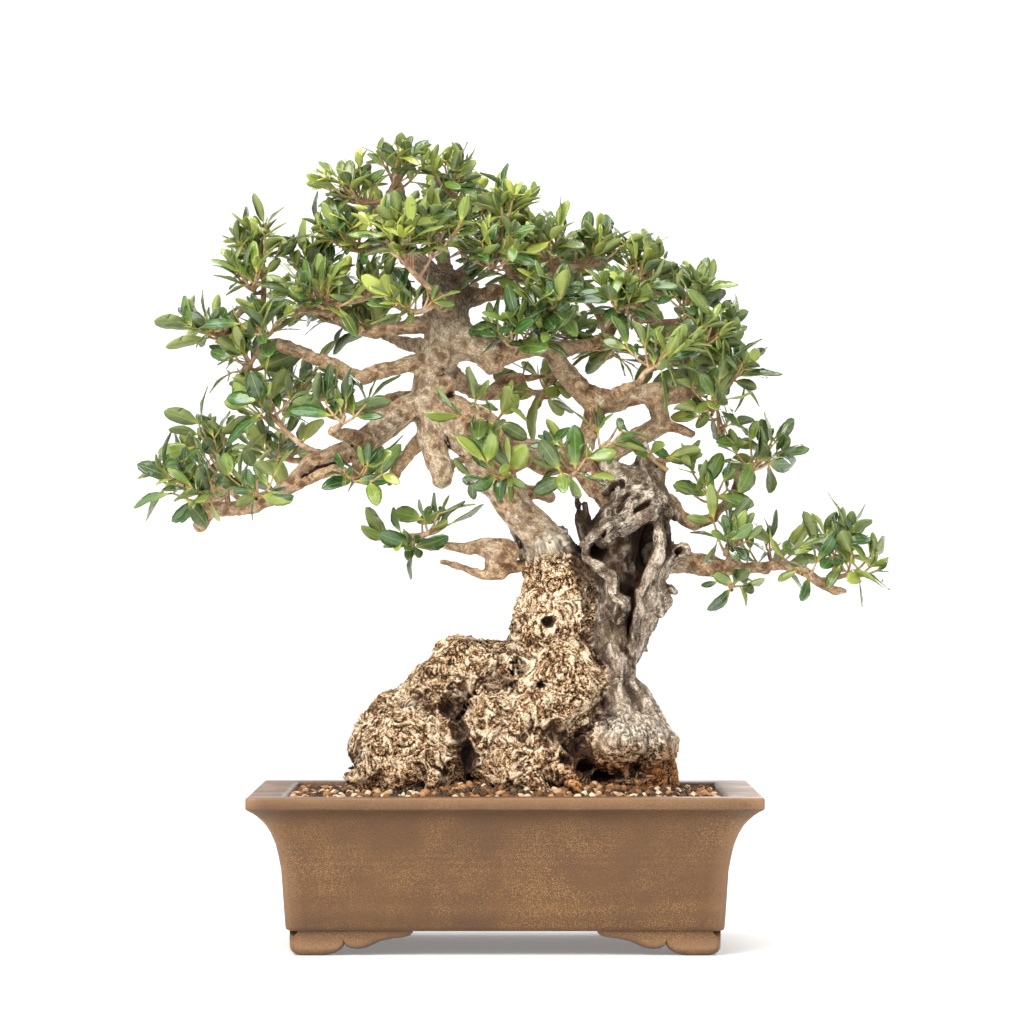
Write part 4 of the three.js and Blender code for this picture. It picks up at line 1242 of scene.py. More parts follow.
@dataclass(frozen=True)
class SmoothBarkFinish(Finish):
    """Bark of the live trunk and limbs: pale on the trunk, browner and scaly on thin limbs."""

    NAME = "limb_bark"
    BUMP = (0.85, 0.8)
    CONSTANTS = {"Specular IOR Level": 0.35}
    pale: Colour = srgb(236, 221, 194)
    grey: Colour = srgb(174, 152, 122)
    flush: Colour = srgb(194, 154, 122)
    limb: Colour = srgb(118, 88, 62)
    cream: Colour = srgb(216, 190, 156)
    tan: Colour = srgb(176, 138, 100)
    brown: Colour = srgb(104, 74, 50)
    moss: Colour = srgb(158, 148, 100)
    crevice_and_shade: Colour = srgb(34, 23, 15)

    def dress(self, graph: Graph) -> dict[str, Signal]:
        """Soft streaks and flecks, with scaly patches that thin limbs have more of, darker round the
        crown's junction, and painted shade in creases and holes.

        Args:
            graph: The material's graph.

        Returns:
            Inputs of the shader by name.
        """
        where = graph.millimetres()
        crest = graph.value("crest")
        along = graph.shifted(graph.vector("grain"), 12.0, 4.0)
        streak = graph.noise(graph.stretch(along, (1.0, 1.0, 0.5)), 2.4, 5.0, 0.8)
        fine = graph.noise(where, 0.9, 3.0)
        clouds = graph.mottle(where, 15.0)
        thin = graph.step(graph.value("girth"), 3.0, 9.5, (1.0, 0.0))
        trunk = graph.blend(graph.step(streak, 0.36, 0.58), self.grey, self.pale)
        slim = graph.blend(graph.step(streak, 0.34, 0.66), self.limb, self.cream)
        colour = graph.blend(thin, trunk, slim)
        colour = graph.blend(clouds * 0.3, colour, self.flush)
        green = graph.mottle(along, 9.0)
        colour = graph.blend(green * 0.14, colour, self.moss)
        flecks = graph.wrinkles(where, 1.9, 0.7)
        flecks = graph.step(flecks, 0.0, 0.8, (0.52, 0.0))
        colour = graph.blend(flecks, colour, self.brown)
        worms = graph.wrinkles(where, 3.0, 1.0)
        level = worms * 0.35 + fine * 0.45
        level = crest * 0.55 + (level - 0.24)
        stops = [(0.0, self.crevice_and_shade), (0.14, self.brown), (0.4, self.tan), (0.75, self.cream)]
        scaly = graph.ramp(level, stops)
        spread = graph.noise(where, 13.0, 3.0, 0.8)
        spread = thin * 0.11 + spread
        spread = graph.value("rough") * 0.5 + spread
        patch = graph.step(spread, 0.54, 0.7, (0.0, 0.85))
        colour = graph.blend(patch, colour, scaly)
        # Darker round the crown's junction, broken up by the worm ridges.
        crown_darkening = graph.value("dark") * graph.step(worms, 0.1, 0.9, (0.96, 0.6))
        colour = graph.blend(crown_darkening, colour, self.crevice_and_shade)
        # Creases between the scales darker: fissures in the bark, with painted shade in them.
        valley = graph.step(crest, 0.08, 0.42, (0.68, 0.0))
        colour = graph.blend(valley, colour, self.brown)
        # Painted shade: sunk places and holes go near black.
        knots = graph.step(graph.value("hollow"), 0.72, 1.0)
        colour = graph.blend(knots, colour, self.crevice_and_shade)
        flat = streak * 0.6 + fine
        height = graph.pick(patch, flat, level)
        rough = graph.step(fine, 0.2, 0.8, (0.55, 0.8))
        return {"Base Color": colour, "Roughness": rough, "Height": height}


class LeafSide(Enum):
    """The side of a leaf that a finish is for."""

    TOP = "top"
    UNDER = "under"


@dataclass(frozen=True)
class LeafFinish(Finish):
    """Leathery olive leaf, glossy above and matt below, with a pale midrib and margin."""

    BUMP = (0.4, 0.25)
    side: LeafSide
    dark: Colour
    middle: Colour
    olive: Colour
    young: Colour
    rib: Colour
    roughness: float

    def label(self) -> str:
        """The material's name."""
        return f"leaf_{self.side.value}"

    def constants(self) -> dict[str, float]:
        """Inputs of the shader that are the same all over, by name.

        Returns:
            Their values.
        """
        top = self.side is LeafSide.TOP
        return {"Specular IOR Level": 0.5 if top else 0.3, "Coat Weight": 0.6 if top else 0.0,
                "Coat Roughness": 0.13}

    def dress(self, graph: Graph) -> dict[str, Signal]:
        """Tone by leaf and age, with veins from the blade's own places.

        Args:
            graph: The material's graph.

        Returns:
            Inputs of the shader by name.
        """
        where = graph.millimetres()
        blade = graph.vector("blade")
        across, along = graph.part(blade, 0), graph.part(blade, 1)
        side = abs(across)
        tone = graph.value("tone")
        stops = [(0.0, self.dark), (0.5, self.middle), (1.0, self.olive)]
        colour = graph.ramp(tone, stops)
        colour = graph.blend(graph.value("young"), colour, self.young)
        clouds = graph.mottle(where, 5.0)
        colour = graph.blend(clouds * 0.1, colour, self.rib)
        rib = graph.step(side, 0.01, 0.07, (1.0, 0.0))
        margin = graph.step(side, 0.92, 0.99)
        slant = side * -1.6 + along * 7.0
        vein = abs(graph.math("SINE", slant * 4.0))
        vein = graph.step(vein, 0.0, 0.25, (1.0, 0.0))
        lines = graph.math("MAXIMUM", rib * 0.45, margin * 0.5)
        lines = graph.math("MAXIMUM", lines, vein * 0.07)
        colour = graph.blend(lines, colour, self.rib)
        dull = graph.noise(where, 2.0)
        spread = (self.roughness - 0.07, self.roughness + 0.1)
        rough = graph.step(dull, 0.25, 0.75, spread)
        height = rib * -1.0 + vein
        height = dull * 0.6 + height
        return {"Base Color": colour, "Roughness": rough, "Height": height}


LEAF_TOP = LeafFinish(
    LeafSide.TOP,
    srgb(12, 54, 25), srgb(50, 100, 41), srgb(146, 160, 66), srgb(210, 218, 96),
    srgb(178, 198, 112), 0.17,
)
LEAF_UNDER = LeafFinish(
    LeafSide.UNDER,
    srgb(76, 96, 76), srgb(104, 122, 72), srgb(148, 158, 80), srgb(198, 206, 94),
    srgb(198, 206, 130), 0.44,
)


@dataclass(frozen=True)
class TwigFinish(Finish):
    """Thin young twigs, beige to reddish brown, and the yellow stalks of the leaves."""

    NAME = "twig_bark"
    BUMP = (0.5, 0.4)
    CONSTANTS = {"Specular IOR Level": 0.35}
    beige: Colour = srgb(216, 190, 160)
    brown: Colour = srgb(142, 104, 78)
    stalk: Colour = srgb(206, 178, 88)

    def dress(self, graph: Graph) -> dict[str, Signal]:
        """Bands along the twig, yellow at its end.

        Args:
            graph: The material's graph.

        Returns:
            Inputs of the shader by name.
        """
        where = graph.millimetres()
        bands = graph.noise(where, 2.6, 3.0, 0.5)
        fine = graph.noise(where, 0.7, 2.0)
        clouds = graph.mottle(where, 14.0)
        colour = graph.blend(clouds, self.brown, self.beige)
        colour = graph.blend(graph.step(bands, 0.4, 0.7), colour, self.brown)
        colour = graph.blend(graph.value("young"), colour, self.stalk)
        rough = graph.step(fine, 0.2, 0.8, (0.5, 0.75))
        return {"Base Color": colour, "Roughness": rough, "Height": bands}


@dataclass(frozen=True)
class GrainFinish(Finish):
    """Grains of the planting mix: cream pumice, tan and brown fired clay and dark grit."""

    NAME = "planting_mix"
    BUMP = (0.6, 0.4)
    CONSTANTS = {"Specular IOR Level": 0.25}
    cream: Colour = srgb(228, 208, 176)
    tan: Colour = srgb(184, 128, 74)
    brown: Colour = srgb(104, 64, 36)
    dark: Colour = srgb(32, 22, 15)

    def dress(self, graph: Graph) -> dict[str, Signal]:
        """A tone for each grain, pitted and dusty.

        Args:
            graph: The material's graph.

        Returns:
            Inputs of the shader by name.
        """
        where = graph.millimetres()
        tone = graph.value("tone")
        stops = [(0.0, self.dark), (0.3, self.brown), (0.6, self.tan), (0.85, self.cream)]
        colour = graph.ramp(tone, stops)
        pits = graph.speckle(where, 0.9, 0.35)
        fine = graph.noise(where, 0.8, 3.0)
        colour = graph.blend(pits * 0.4, colour, self.brown)
        colour = graph.blend(graph.step(fine, 0.45, 0.8, (0.0, 0.3)), colour, self.cream)
        height = fine - pits
        rough = graph.step(fine, 0.2, 0.8, (0.75, 0.95))
        return {"Base Color": colour, "Roughness": rough, "Height": height}


@dataclass(frozen=True)
class MeshFinish(Finish):
    """Dark moulded mesh over the drain holes."""

    NAME = "drain_mesh"
    BUMP = (0.3, 0.15)
    body: Colour = srgb(44, 46, 46)
    dust: Colour = srgb(96, 84, 70)

    def dress(self, graph: Graph) -> dict[str, Signal]:
        """Dusty dark plastic.

        Args:
            graph: The material's graph.

        Returns:
            Inputs of the shader by name.
        """
        where = graph.millimetres()
        clouds = graph.mottle(where, 6.0)
        fine = graph.noise(where, 0.6, 2.0)
        colour = graph.blend(clouds * 0.4, self.body, self.dust)
        rough = graph.step(clouds, 0.0, 1.0, (0.4, 0.65))
        return {"Base Color": colour, "Roughness": rough, "Height": fine}


@dataclass(frozen=True)
class FloorFinish(Finish):
    """Plain pale studio sweep, which glows by itself as painted light behind the tree."""

    NAME = "studio_sweep"
    CONSTANTS = {"Roughness": 0.7, "Specular IOR Level": 0.2, "Emission Strength": 0.5}
    colour: Colour = srgb(244, 244, 243)
    cloud: Colour = srgb(240, 240, 240)

    def dress(self, graph: Graph) -> dict[str, Signal]:
        """One pale tone, a touch uneven, glowing as painted light from behind the tree up the wall.

        Args:
            graph: The material's graph.

        Returns:
            Inputs of the shader by name.
        """
        where = graph.millimetres()
        clouds = graph.mottle(where, 400.0)
        colour = graph.blend(clouds * 0.3, self.colour, self.cloud)
        glow_colour = graph.blend(graph.value("glow"), (0, 0, 0, 1), (1, 1, 1, 1))
        return {"Base Color": colour, "Emission Color": glow_colour}


# ---- the pot


def skin_faces(rings: int, count: int, closed: bool = True) -> Array:
    """Faces of four between rows of points, `count` a row, closed round each row or not.

    Args:
        rings: How many rows there are.
        count: Points in a row.
        closed: Whether the rows are rings.

    Returns:
        The faces.
    """
    i, j = np.meshgrid(np.arange(rings - 1), np.arange(count if closed else count - 1))
    i, j = i.ravel(), j.ravel()
    k = (j + 1) % count
    return np.stack([i * count + j, i * count + k, (i + 1) * count + k, (i + 1) * count + j], 1)


@dataclass
class Pot:
    """The rectangular pot with its flared lip, its four cloud feet and its drain holes."""

    half_width: float = 150.0
    half_depth: float = 114.0
    foot_height: float = 14.3
    floor_top: float = 24.0
    corner: float = 2.4
    corner_steps: int = 7
    side_step: float = 9.0
    drain_radius: float = 11.0
    drain_spacing: float = 118.0
    foot_along: float = 72.0
    foot_across: float = 50.0
    foot_thick: float = 20.0
    foot_inset: float = 24.5
    foot_sunk: float = 2.0  # how far the feet reach up into the floor
    corner_growth: float = 0.07  # how much rounder a corner is for each millimetre of inset
    uneven: Point3 = (0.35, 0.35, 0.0)  # how far the hand-made walls wander
    uneven_level: float = 0.25
    crease: float = 42.0  # degrees between faces that meet in a sharp edge
    drill_sides: int = 48
    drill_length: float = 30.0
    drill_level: float = 19.0
    # Insets from the rim's outer edge, with heights: up the outside, over the rim, down inside.
    outside: tuple[tuple[float, float], ...] = (
        (25.5, 14.3), (23.6, 14.6), (22.6, 15.6), (22.2, 17.5), (21.4, 28), (20.6, 40),
        (19.9, 50), (18.5, 58), (16.8, 65.5), (14.2, 72), (11.8, 76.2), (9.3, 79.2), (6.2, 82.2),
        (3.6, 84.1), (1.9, 85.1), (0.8, 85.8), (0.2, 86.2), (0, 86.8), (0, 91.9), (0.2, 92.5),
        (0.6, 92.9), (1.2, 93),
    )
    inside: tuple[tuple[float, float], ...] = (
        (18.6, 93), (20, 92.7), (20.9, 92), (21.4, 91), (22.5, 84), (26, 72), (30, 52), (34, 24),
    )

    def ring(self, inset: float, z: float) -> Array:
        """One level of the wall: a rectangle with round corners.

        Args:
            inset: How far inside the rim's outer edge it lies.
            z: Its height.

        Returns:
            Its points.
        """
        wide, deep = self.half_width - inset, self.half_depth - inset
        radius = self.corner + inset * self.corner_growth
        corners = []
        for sx, sy, quarter in ((1, 1, 0), (-1, 1, 1), (-1, -1, 2), (1, -1, 3)):
            angles = math.pi / 2 * (quarter + np.linspace(0, 1, self.corner_steps))
            x = sx * (wide - radius) + radius * np.cos(angles)
            y = sy * (deep - radius) + radius * np.sin(angles)
            corners.append(np.stack([x, y], 1))
        points = []
        for here, after in zip(corners, corners[1:] + corners[:1]):
            points.extend(here)
            long_side = abs(after[0][0] - here[-1][0]) > abs(after[0][1] - here[-1][1])
            length = 2 * (self.half_width if long_side else self.half_depth)
            steps = round(length / self.side_step)
            points.extend(here[-1] + (after[0] - here[-1]) * t / steps for t in range(1, steps))
        return np.column_stack([np.array(points), np.full(len(points), z)])

    def bowl(self) -> tuple[Array, list[Array], Array, Array]:
        """The bowl as one closed skin.

        Returns:
            Its points, its faces, how much each point is lightened for wear and painted highlight,
            and how much painted shade it gets.
        """
        profile = [*self.outside, *self.inside]
        rings = [self.ring(inset, z) for inset, z in profile]
        count = len(rings[0])
        points = np.vstack([*rings, [[0, 0, self.floor_top], [0, 0, self.foot_height]]])
        grain = Noise(SEED)
        uneven = grain.layers(points, 60.0, 2)[:, None] * self.uneven
        uneven[:, 2] = grain.at(points + 50, 90.0) * self.uneven_level
        points = points + uneven * (points[:, 2:] > self.foot_height + 1)
        last = (len(rings) - 1) * count
        around = np.arange(count)
        after = (around + 1) % count
        top = np.full(count, len(points) - 2)
        under = np.full(count, len(points) - 1)
        fans = np.vstack([
            np.stack([last + around, last + after, top], 1),
            np.stack([after, around, under], 1),
        ])
        # The edge value: painted highlight with wear on the lip's top and outer edge, and wear on
        # the upright corners.
        lip = smooth_step(86.2, 88, points[:, 2]) * smooth_step(-3.2, -0.6, -self.reach_in(points))
        corner = self.near_corner(points) * (points[:, 2] > 14)
        edge = np.clip(lip * 0.55 + corner * 0.55, 0, 1)
        # Painted shade: a band under the lip, the pot's lowest band, and the inner wall below the
        # rim.
        shade = smooth_step(76, 84.5, points[:, 2]) * smooth_step(87.2, 85.6, points[:, 2])
        shade += smooth_step(22, 14, points[:, 2]) * 0.8
        shade += smooth_step(20.5, 22.0, self.reach_in(points)) * (points[:, 2] > 50) * 1.4
        return points, [skin_faces(len(rings), count), fans], edge, shade

    def reach_in(self, points: Array) -> Array:
        """How far inside the rim's outer edge each point lies."""
        x = self.half_width - np.abs(points[:, 0])
        return np.minimum(x, self.half_depth - np.abs(points[:, 1]))

    def near_corner(self, points: Array) -> Array:
        """How near each point is to one of the pot's upright edges.

        Args:
            points: The pot's points.

        Returns:
            From 0 in the open to 1 at an edge.
        """
        level = np.interp(points[:, 2], [z for _, z in self.outside], [i for i, _ in self.outside])
        x = self.half_width - level - np.abs(points[:, 0])
        y = self.half_depth - level - np.abs(points[:, 1])
        return smooth_step(7, 1, np.hypot(x, y))

    def foot_outline(self, length: float) -> Array:
        """The cloud foot seen from the front: a full lobe, a small one and a thin tail.

        Args:
            length: The arm's length.

        Returns:
            Rows of (along, height).
        """
        share = length / self.foot_along
        top = self.foot_height + self.foot_sunk
        line = np.array([
            (4.5, top), (4.3, 13.2), (2.6, 11.4), (0.7, 9.2), (0, 6.8), (0.2, 4), (1.5, 1.6),
            (4.2, 0.3), (8, 0), (22, 0.1), (26.6, 1.3), (30, 3.4), (31.6, 5.6), (32.2, 7.0),
            (33, 5.2), (35.4, 3.9), (39.5, 3.4), (44, 4.0), (48, 5.8), (53, 8.2), (60, 9.6),
            (66.5, 10.4), (70, 11.4), (71.6, 13), (length / share, top),
        ])
        line[1:, 0] *= share
        return line

    def foot_arm(self, length: float) -> tuple[Array, list[Array]]:
        """One arm of a foot along +X, with its front and back edges rounded.

        Args:
            length: Its length.

        Returns:
            Its points and its faces.
        """
        line = self.foot_outline(length)
        middle = np.array([length * 0.4, self.foot_height])
        layers = ((0.0, 1.0), (0.3, 0.76), (1.0, 0.52), (2.1, 0.31), (3.6, 0.14), (5.6, 0.04),
                  (8.0, 0.0), (self.foot_thick, 0.0))
        rings = []
        room = np.clip(self.foot_height - line[:, 1], 0, 11)[:, None] * 0.42
        for depth, shrink in layers:
            inward = middle - line
            inward /= np.maximum(np.linalg.norm(inward, axis=1, keepdims=True), 1e-6)
            shape = line + (inward * [0.8, 0.0] + [0, 1.0]) * shrink * room
            shape[:, 1] = np.maximum(shape[:, 1], 0)
            shape[0, 1] = shape[-1, 1] = self.foot_height + self.foot_sunk
            rings.append(np.column_stack([shape[:, 0], np.full(len(shape), depth), shape[:, 1]]))
        count = len(line)
        points = np.vstack(rings)
        caps = [np.arange(count)[::-1][None], (np.arange(count) + (len(rings) - 1) * count)[None]]
        return points, [skin_faces(len(rings), count), *caps]

    def feet(self) -> tuple[Array, list[Array]]:
        """All four feet, each with an arm along the front or back and one along the side.

        Returns:
            Their points and their faces.
        """
        points: list[Array] = []
        faces: list[Array] = []
        start = 0
        for sx in (1, -1):
            for sy in (1, -1):
                for length, turned in ((self.foot_along, False), (self.foot_across, True)):
                    arm, arm_faces = self.foot_arm(length)
                    if turned:
                        arm = arm[:, [1, 0, 2]]
                    arm = arm + [self.foot_inset - self.half_width,
                                 self.foot_inset - self.half_depth, 0]
                    arm = arm * [sx, sy, 1]
                    flipped = (sx * sy < 0) != turned
                    points.append(arm)
                    faces.extend(f[:, ::-1] + start if flipped else f + start for f in arm_faces)
                    start += len(arm)
        return np.vstack(points), faces

    def build(self, place: Place, clay: bpy.types.Material) -> bpy.types.Object:
        """Makes the pot.

        Args:
            place: Where the pot stands.
            clay: Its material.

        Returns:
            The pot, which stands for the frame's.
        """
        points, faces, edge, shade = self.bowl()
        limit = [self.half_width, self.half_depth, self.half_width]
        points = np.clip(points, np.negative(limit), limit)
        feet, feet_faces = self.feet()
        faces += [f + len(points) for f in feet_faces]
        made = make_mesh("pot_clay", place.metres(np.vstack([points, feet])), faces, [clay])
        # Painted highlight on the lower band of the feet's proud lobes.
        ends = np.abs(feet[:, :2]) - [self.half_width, self.half_depth] + self.foot_inset
        proud = smooth_step(-3.2, -0.3, ends.max(1))
        low = smooth_step(12, 5, feet[:, 2]) * smooth_step(1.5, 5, feet[:, 2])
        set_values(made, "edge", np.concatenate([edge, proud * (0.1 + 0.7 * low)]))
        # Painted shade where the feet sit back under the pot and near their tops.
        under = 0.9 * (1 - proud) + smooth_step(11, 15, feet[:, 2])
        set_values(made, "shade", np.concatenate([shade, np.clip(under, 0, 1.2)]))
        self.drill(made, place)
        made.data.set_sharp_from_angle(angle=math.radians(self.crease))
        return hand_in(made, "clay", "pot")

    def drill(self, made: bpy.types.Object, place: Place) -> None:
        """Cuts the drain holes through the floor.

        Args:
            made: The pot.
            place: Where it stands.
        """
        for side in (-1, 1):
            bpy.ops.mesh.primitive_cylinder_add(
                vertices=self.drill_sides,
                radius=self.drain_radius * MM,
                depth=self.drill_length * MM,
                location=place.metres((side * self.drain_spacing / 2, 0, self.drill_level)),
            )
            drill = bpy.context.object
            cut = made.modifiers.new("drain", "BOOLEAN")
            cut.operation, cut.object, cut.solver = "DIFFERENCE", drill, "EXACT"
            graph = bpy.context.evaluated_depsgraph_get()
            cut_mesh = bpy.data.meshes.new_from_object(made.evaluated_get(graph))
            made.modifiers.clear()
            made.data = cut_mesh
            bpy.data.objects.remove(drill)


@dataclass
class DrainScreens:
    """The square of mesh over each drain hole, under the soil."""

    side: float = 36.0
    thick: float = 1.4
    bars: int = 13
    bar: float = 0.9
    frame: float = 1.6
    floor: float = 24.35
    spacing: float = 118.0

    def build(self, place: Place, plastic: bpy.types.Material) -> list[bpy.types.Object]:
        """Makes both screens, each of crossed bars in a frame.

        Args:
            place: Where the pot stands.
            plastic: Their material.

        Returns:
            Both screens.
        """
        made = []
        for side, name in ((-1, "left"), (1, "right")):
            boxes = []
            half = self.side / 2
            for k in range(self.bars):
                last = k in (0, self.bars - 1)
                wide = self.frame if last else self.bar
                reach = half - wide / 2
                at = -reach + 2 * reach * k / (self.bars - 1)
                lift = 0 if last else self.thick * 0.1
                boxes.append((at, 0, wide, self.side, lift, self.thick * (1 if last else 0.55)))
                boxes.append((0, at, self.side, wide, lift * 4, self.thick * (1 if last else 0.9)))
            points, faces = [], []
            for x, y, wide, deep, low, high in boxes:
                start = sum(len(p) for p in points)
                corners = np.array(list(np.ndindex(2, 2, 2)), float)
                corners[:, 0] = x + (corners[:, 0] - 0.5) * wide
                corners[:, 1] = y + (corners[:, 1] - 0.5) * deep
                corners[:, 2] = self.floor + np.where(corners[:, 2] > 0, high, low)
                points.append(corners + [side * self.spacing / 2, 0, 0])
                faces.append(start + np.array([
                    (0, 1, 3, 2), (4, 6, 7, 5), (0, 4, 5, 1), (2, 3, 7, 6), (0, 2, 6, 4),
                    (1, 5, 7, 3),
                ]))
            screen = make_mesh(f"drain_mesh_{name}", place.metres(np.vstack(points)),
                               np.vstack(faces), [plastic], smooth=False)
            made.append(hand_in(screen, "screen", f"drain_screen_{name}"))
        return made


# ---- the wood


@dataclass(frozen=True)
class Knot:
    """A place on the base where the bark swirls: (x, z) seen from the front, and its reach."""

    x: float
    z: float
    reach: float
    deep: float = 0.0  # depth of the hole in its middle
    back: bool = False


KNOTS = [
    Knot(-61, 126, 16, 1.0), Knot(-54, 105, 10), Knot(9, 112, 12, 1.0), Knot(12, 137, 9),
    Knot(34, 166, 15, 0.8), Knot(43, 146, 10), Knot(64, 124, 11), Knot(-16, 134, 11),
    Knot(25, 193.6, 12, 6.5), Knot(-45, 165, 11), Knot(-30, 150, 9), Knot(30, 215, 9),
    Knot(-78, 110, 10), Knot(-5, 172, 9),
    Knot(-40, 140, 14, 2.0, True), Knot(20, 150, 16, 3.0, True), Knot(60, 130, 13, 1.5, True),
    Knot(-10, 118, 13, 1.0, True), Knot(30, 190, 12, 2.0, True), Knot(-65, 112, 12, 0, True),
    Knot(25, 112, 11, 0, True),
]


@dataclass(frozen=True)
class Pit:
    """A hollow in the base: (x, z) seen from the front, its reaches across, up and in."""

    x: float
    z: float
    wide: float
    high: float
    deep: float


PITS = [
    Pit(-34, 141, 4, 4, 6), Pit(-27, 130, 4.6, 8, 7), Pit(-22, 114, 5, 10, 10),
    Pit(-18.5, 98, 6.4, 8, 12), Pit(20.8, 156.4, 2.8, 2.4, 6), Pit(0, 156, 5.5, 1.8, 4),
    Pit(-36, 104, 2, 3, 4), Pit(36, 112, 6, 3.6, 7), Pit(47, 107, 6, 3.6, 8),
    Pit(57, 102, 7, 2.8, 8), Pit(78, 107, 2.6, 2.2, 6),
]

# Ridges and lips of the dead trunk that stand proud of its shell, and the roots over the soil.
RIDGES: dict[str, list[Point4]] = {
    "lip_top": [(46, -21, 240, 2.6), (56, -23, 247, 3.2), (67, -24, 253, 3.6),
                (77, -23, 265, 4.2), (89, -20, 269, 4.4), (96, -17, 258, 4.6)],
    "lip_right": [(90, -24, 258, 4.0), (92, -26, 245, 3.8), (91, -27, 233, 4.2),
                  (84, -27, 220, 3.6), (80, -26, 209, 4.2), (79, -25, 198, 3.6),
                  (76, -23, 185, 3.8), (75, -20, 172, 3.0), (76, -18, 161, 2.6)],
    "lip_left": [(47, -21, 240, 2.4), (48, -25, 232, 2.8), (57, -27, 225, 3.2),
                 (64, -28, 220, 4.0), (65, -28, 210, 3.4), (72, -28, 204, 3.8),
                 (71, -27, 197, 3.2), (68, -25, 192, 2.4)],
    "tongue": [(58, -20, 240, 3.2), (63, -26, 243, 4.2), (71, -28, 249, 4.6),
               (80, -27, 255, 4.6), (89, -23, 258, 4.2)],
    "strand_left": [(61, -15, 198, 6), (62, -17, 186, 7.6), (63, -17, 172, 8), (64, -18, 160, 8),
                    (66, -23, 146, 9), (70, -28, 130, 10), (72, -30, 118, 9)],
    "strand_right": [(94, -10, 250, 6), (94, -12, 236, 6.5), (89, -14, 216, 6),
                     (85.5, -15, 201, 5.6), (80.5, -15, 189, 5.2), (78, -14, 178, 5),
                     (73, -14, 162, 4.8), (78, -14, 149, 8.5), (84, -14, 137, 9.5),
                     (88, -12, 121, 11.5), (86, -9, 107, 12)],
    "spur_low": [(84, -14, 184, 3), (82, -14, 178, 2.4), (85, -14, 176, 1.4)],
    "nub_high": [(92, -10, 212, 4), (98, -14, 213, 2.4), (102, -15, 211, 1.7)],
    "nub_low": [(89, -12, 204, 5), (96, -13, 205, 4), (93, -13, 199, 3)],
    "crown_fold": [(60, -6, 272, 4), (64, -8, 278, 4), (74, -12, 280, 4.4), (86, -14, 276, 4.4),
                   (96, -10, 266, 4), (101, -6, 256, 3.6)],
    "crown_lobe": [(66, -12, 268, 4), (74, -17, 272, 4), (84, -18, 268, 3.6), (92, -16, 262, 3)],
    "crown_tip": [(86, -4, 280, 5.5), (83, -6, 290, 5), (84, -6, 298, 2.6), (81, -6, 303, 1.2)],
    "crown_horn": [(92, -6, 276, 4), (94, -7, 285, 2.6), (93, -7, 292, 1.2)],
    "root_front": [(-40, -50, 108, 4), (-43, -55, 99, 4.2), (-45, -59, 90, 3.4)],
    "root_low": [(8, -52, 112, 5), (14, -59, 103, 5), (22, -64, 95, 4.4), (25, -68, 88, 3.4)],
    "root_side": [(30, -54, 108, 4), (38, -58, 101, 4), (44, -62, 93, 3.4)],
    "root_left": [(-84, -20, 96, 5), (-96, -22, 91, 4), (-106, -26, 87, 2.4)],
}

# The dead trunk's mouth, as the outline that is seen from the front, and where it is deepest. The
# cracks are cut through the lips as well.
MOUTH = [
    (49, 238), (57, 247), (67, 252), (80, 256), (90, 252), (92, 240), (89, 228), (84, 215),
    (80, 203), (79, 182), (78.5, 162), (75, 160), (73.5, 182), (70.5, 193), (72, 205), (66, 211),
    (64, 222), (58, 227), (50, 232),
]
DEEPEST = [(86, 239, 8, 13, 15), (76, 204, 4, 14, 7), (57, 238, 6, 4, 4), (75, 178, 3, 16, 5)]
CUTS: dict[str, list[Point4]] = {
    "slot": [(76.5, -20, 207, 2.6), (76, -18, 196, 2.4), (76, -16, 180, 1.8), (76, -15, 166, 1)],
    "seam": [(54, -22, 240, 1.2), (56, -24, 221, 1.6), (57.5, -25, 206, 2.0),
             (56, -25, 190, 1.8), (54, -26, 176, 1.8), (54, -31, 160, 1.5)],
    "tongue_gap": [(59, -26, 238, 1.5), (68, -27, 242, 2.2), (77, -26, 245, 2.2)],
    "groove_right": [(90, -26, 226, 1.2), (87, -25, 210, 1.6), (83, -23, 192, 1.0)],
    "fold_gap": [(60, -20, 256, 1.2), (70, -22, 261, 1.5), (80, -22, 260, 1.2)],
    "knot_top": [(70, -14, 274, 2.2), (70, -20, 275, 2.4)],
    "ring_hole": [(98, -14, 232, 2.4), (104, -22, 236, 2.8), (110, -26, 239, 3.0)],
}

# Swellings where shoots were cut from the limbs, and holes left by rotted stubs: (x, y, z, reach).
LIMB_KNOBS: list[Point4] = [
    (-41, -12, 352, 8), (-37, -13, 334, 7), (-30, -12, 322, 7), (-44, 9, 340, 8),
    (-36, -11, 388, 8), (-30, 8, 372, 8), (-16, -14, 358, 6), (44, -16, 334, 6),
    (66, -15, 326, 7), (90, -10, 330, 6), (-60, -12, 320, 6.5), (-84, -18, 301, 7),
    (-114, -22, 289, 5), (-58, -8, 412, 6), (3, -12, 268, 6), (-8, 4, 280, 7), (50, -8, 284, 6),
    (-180, -17, 258, 5), (16, -6, 250, 9), (138, -4, 266, 4.6), (118, -5, 228, 6),
]
LIMB_HOLES: list[Point4] = [
    (-37, 0, 387, 4.5), (-42, 0, 344, 2.6), (2, 0, 268, 2.4), (64, 0, 326, 2.4), (-82, 0, 302, 2),
]


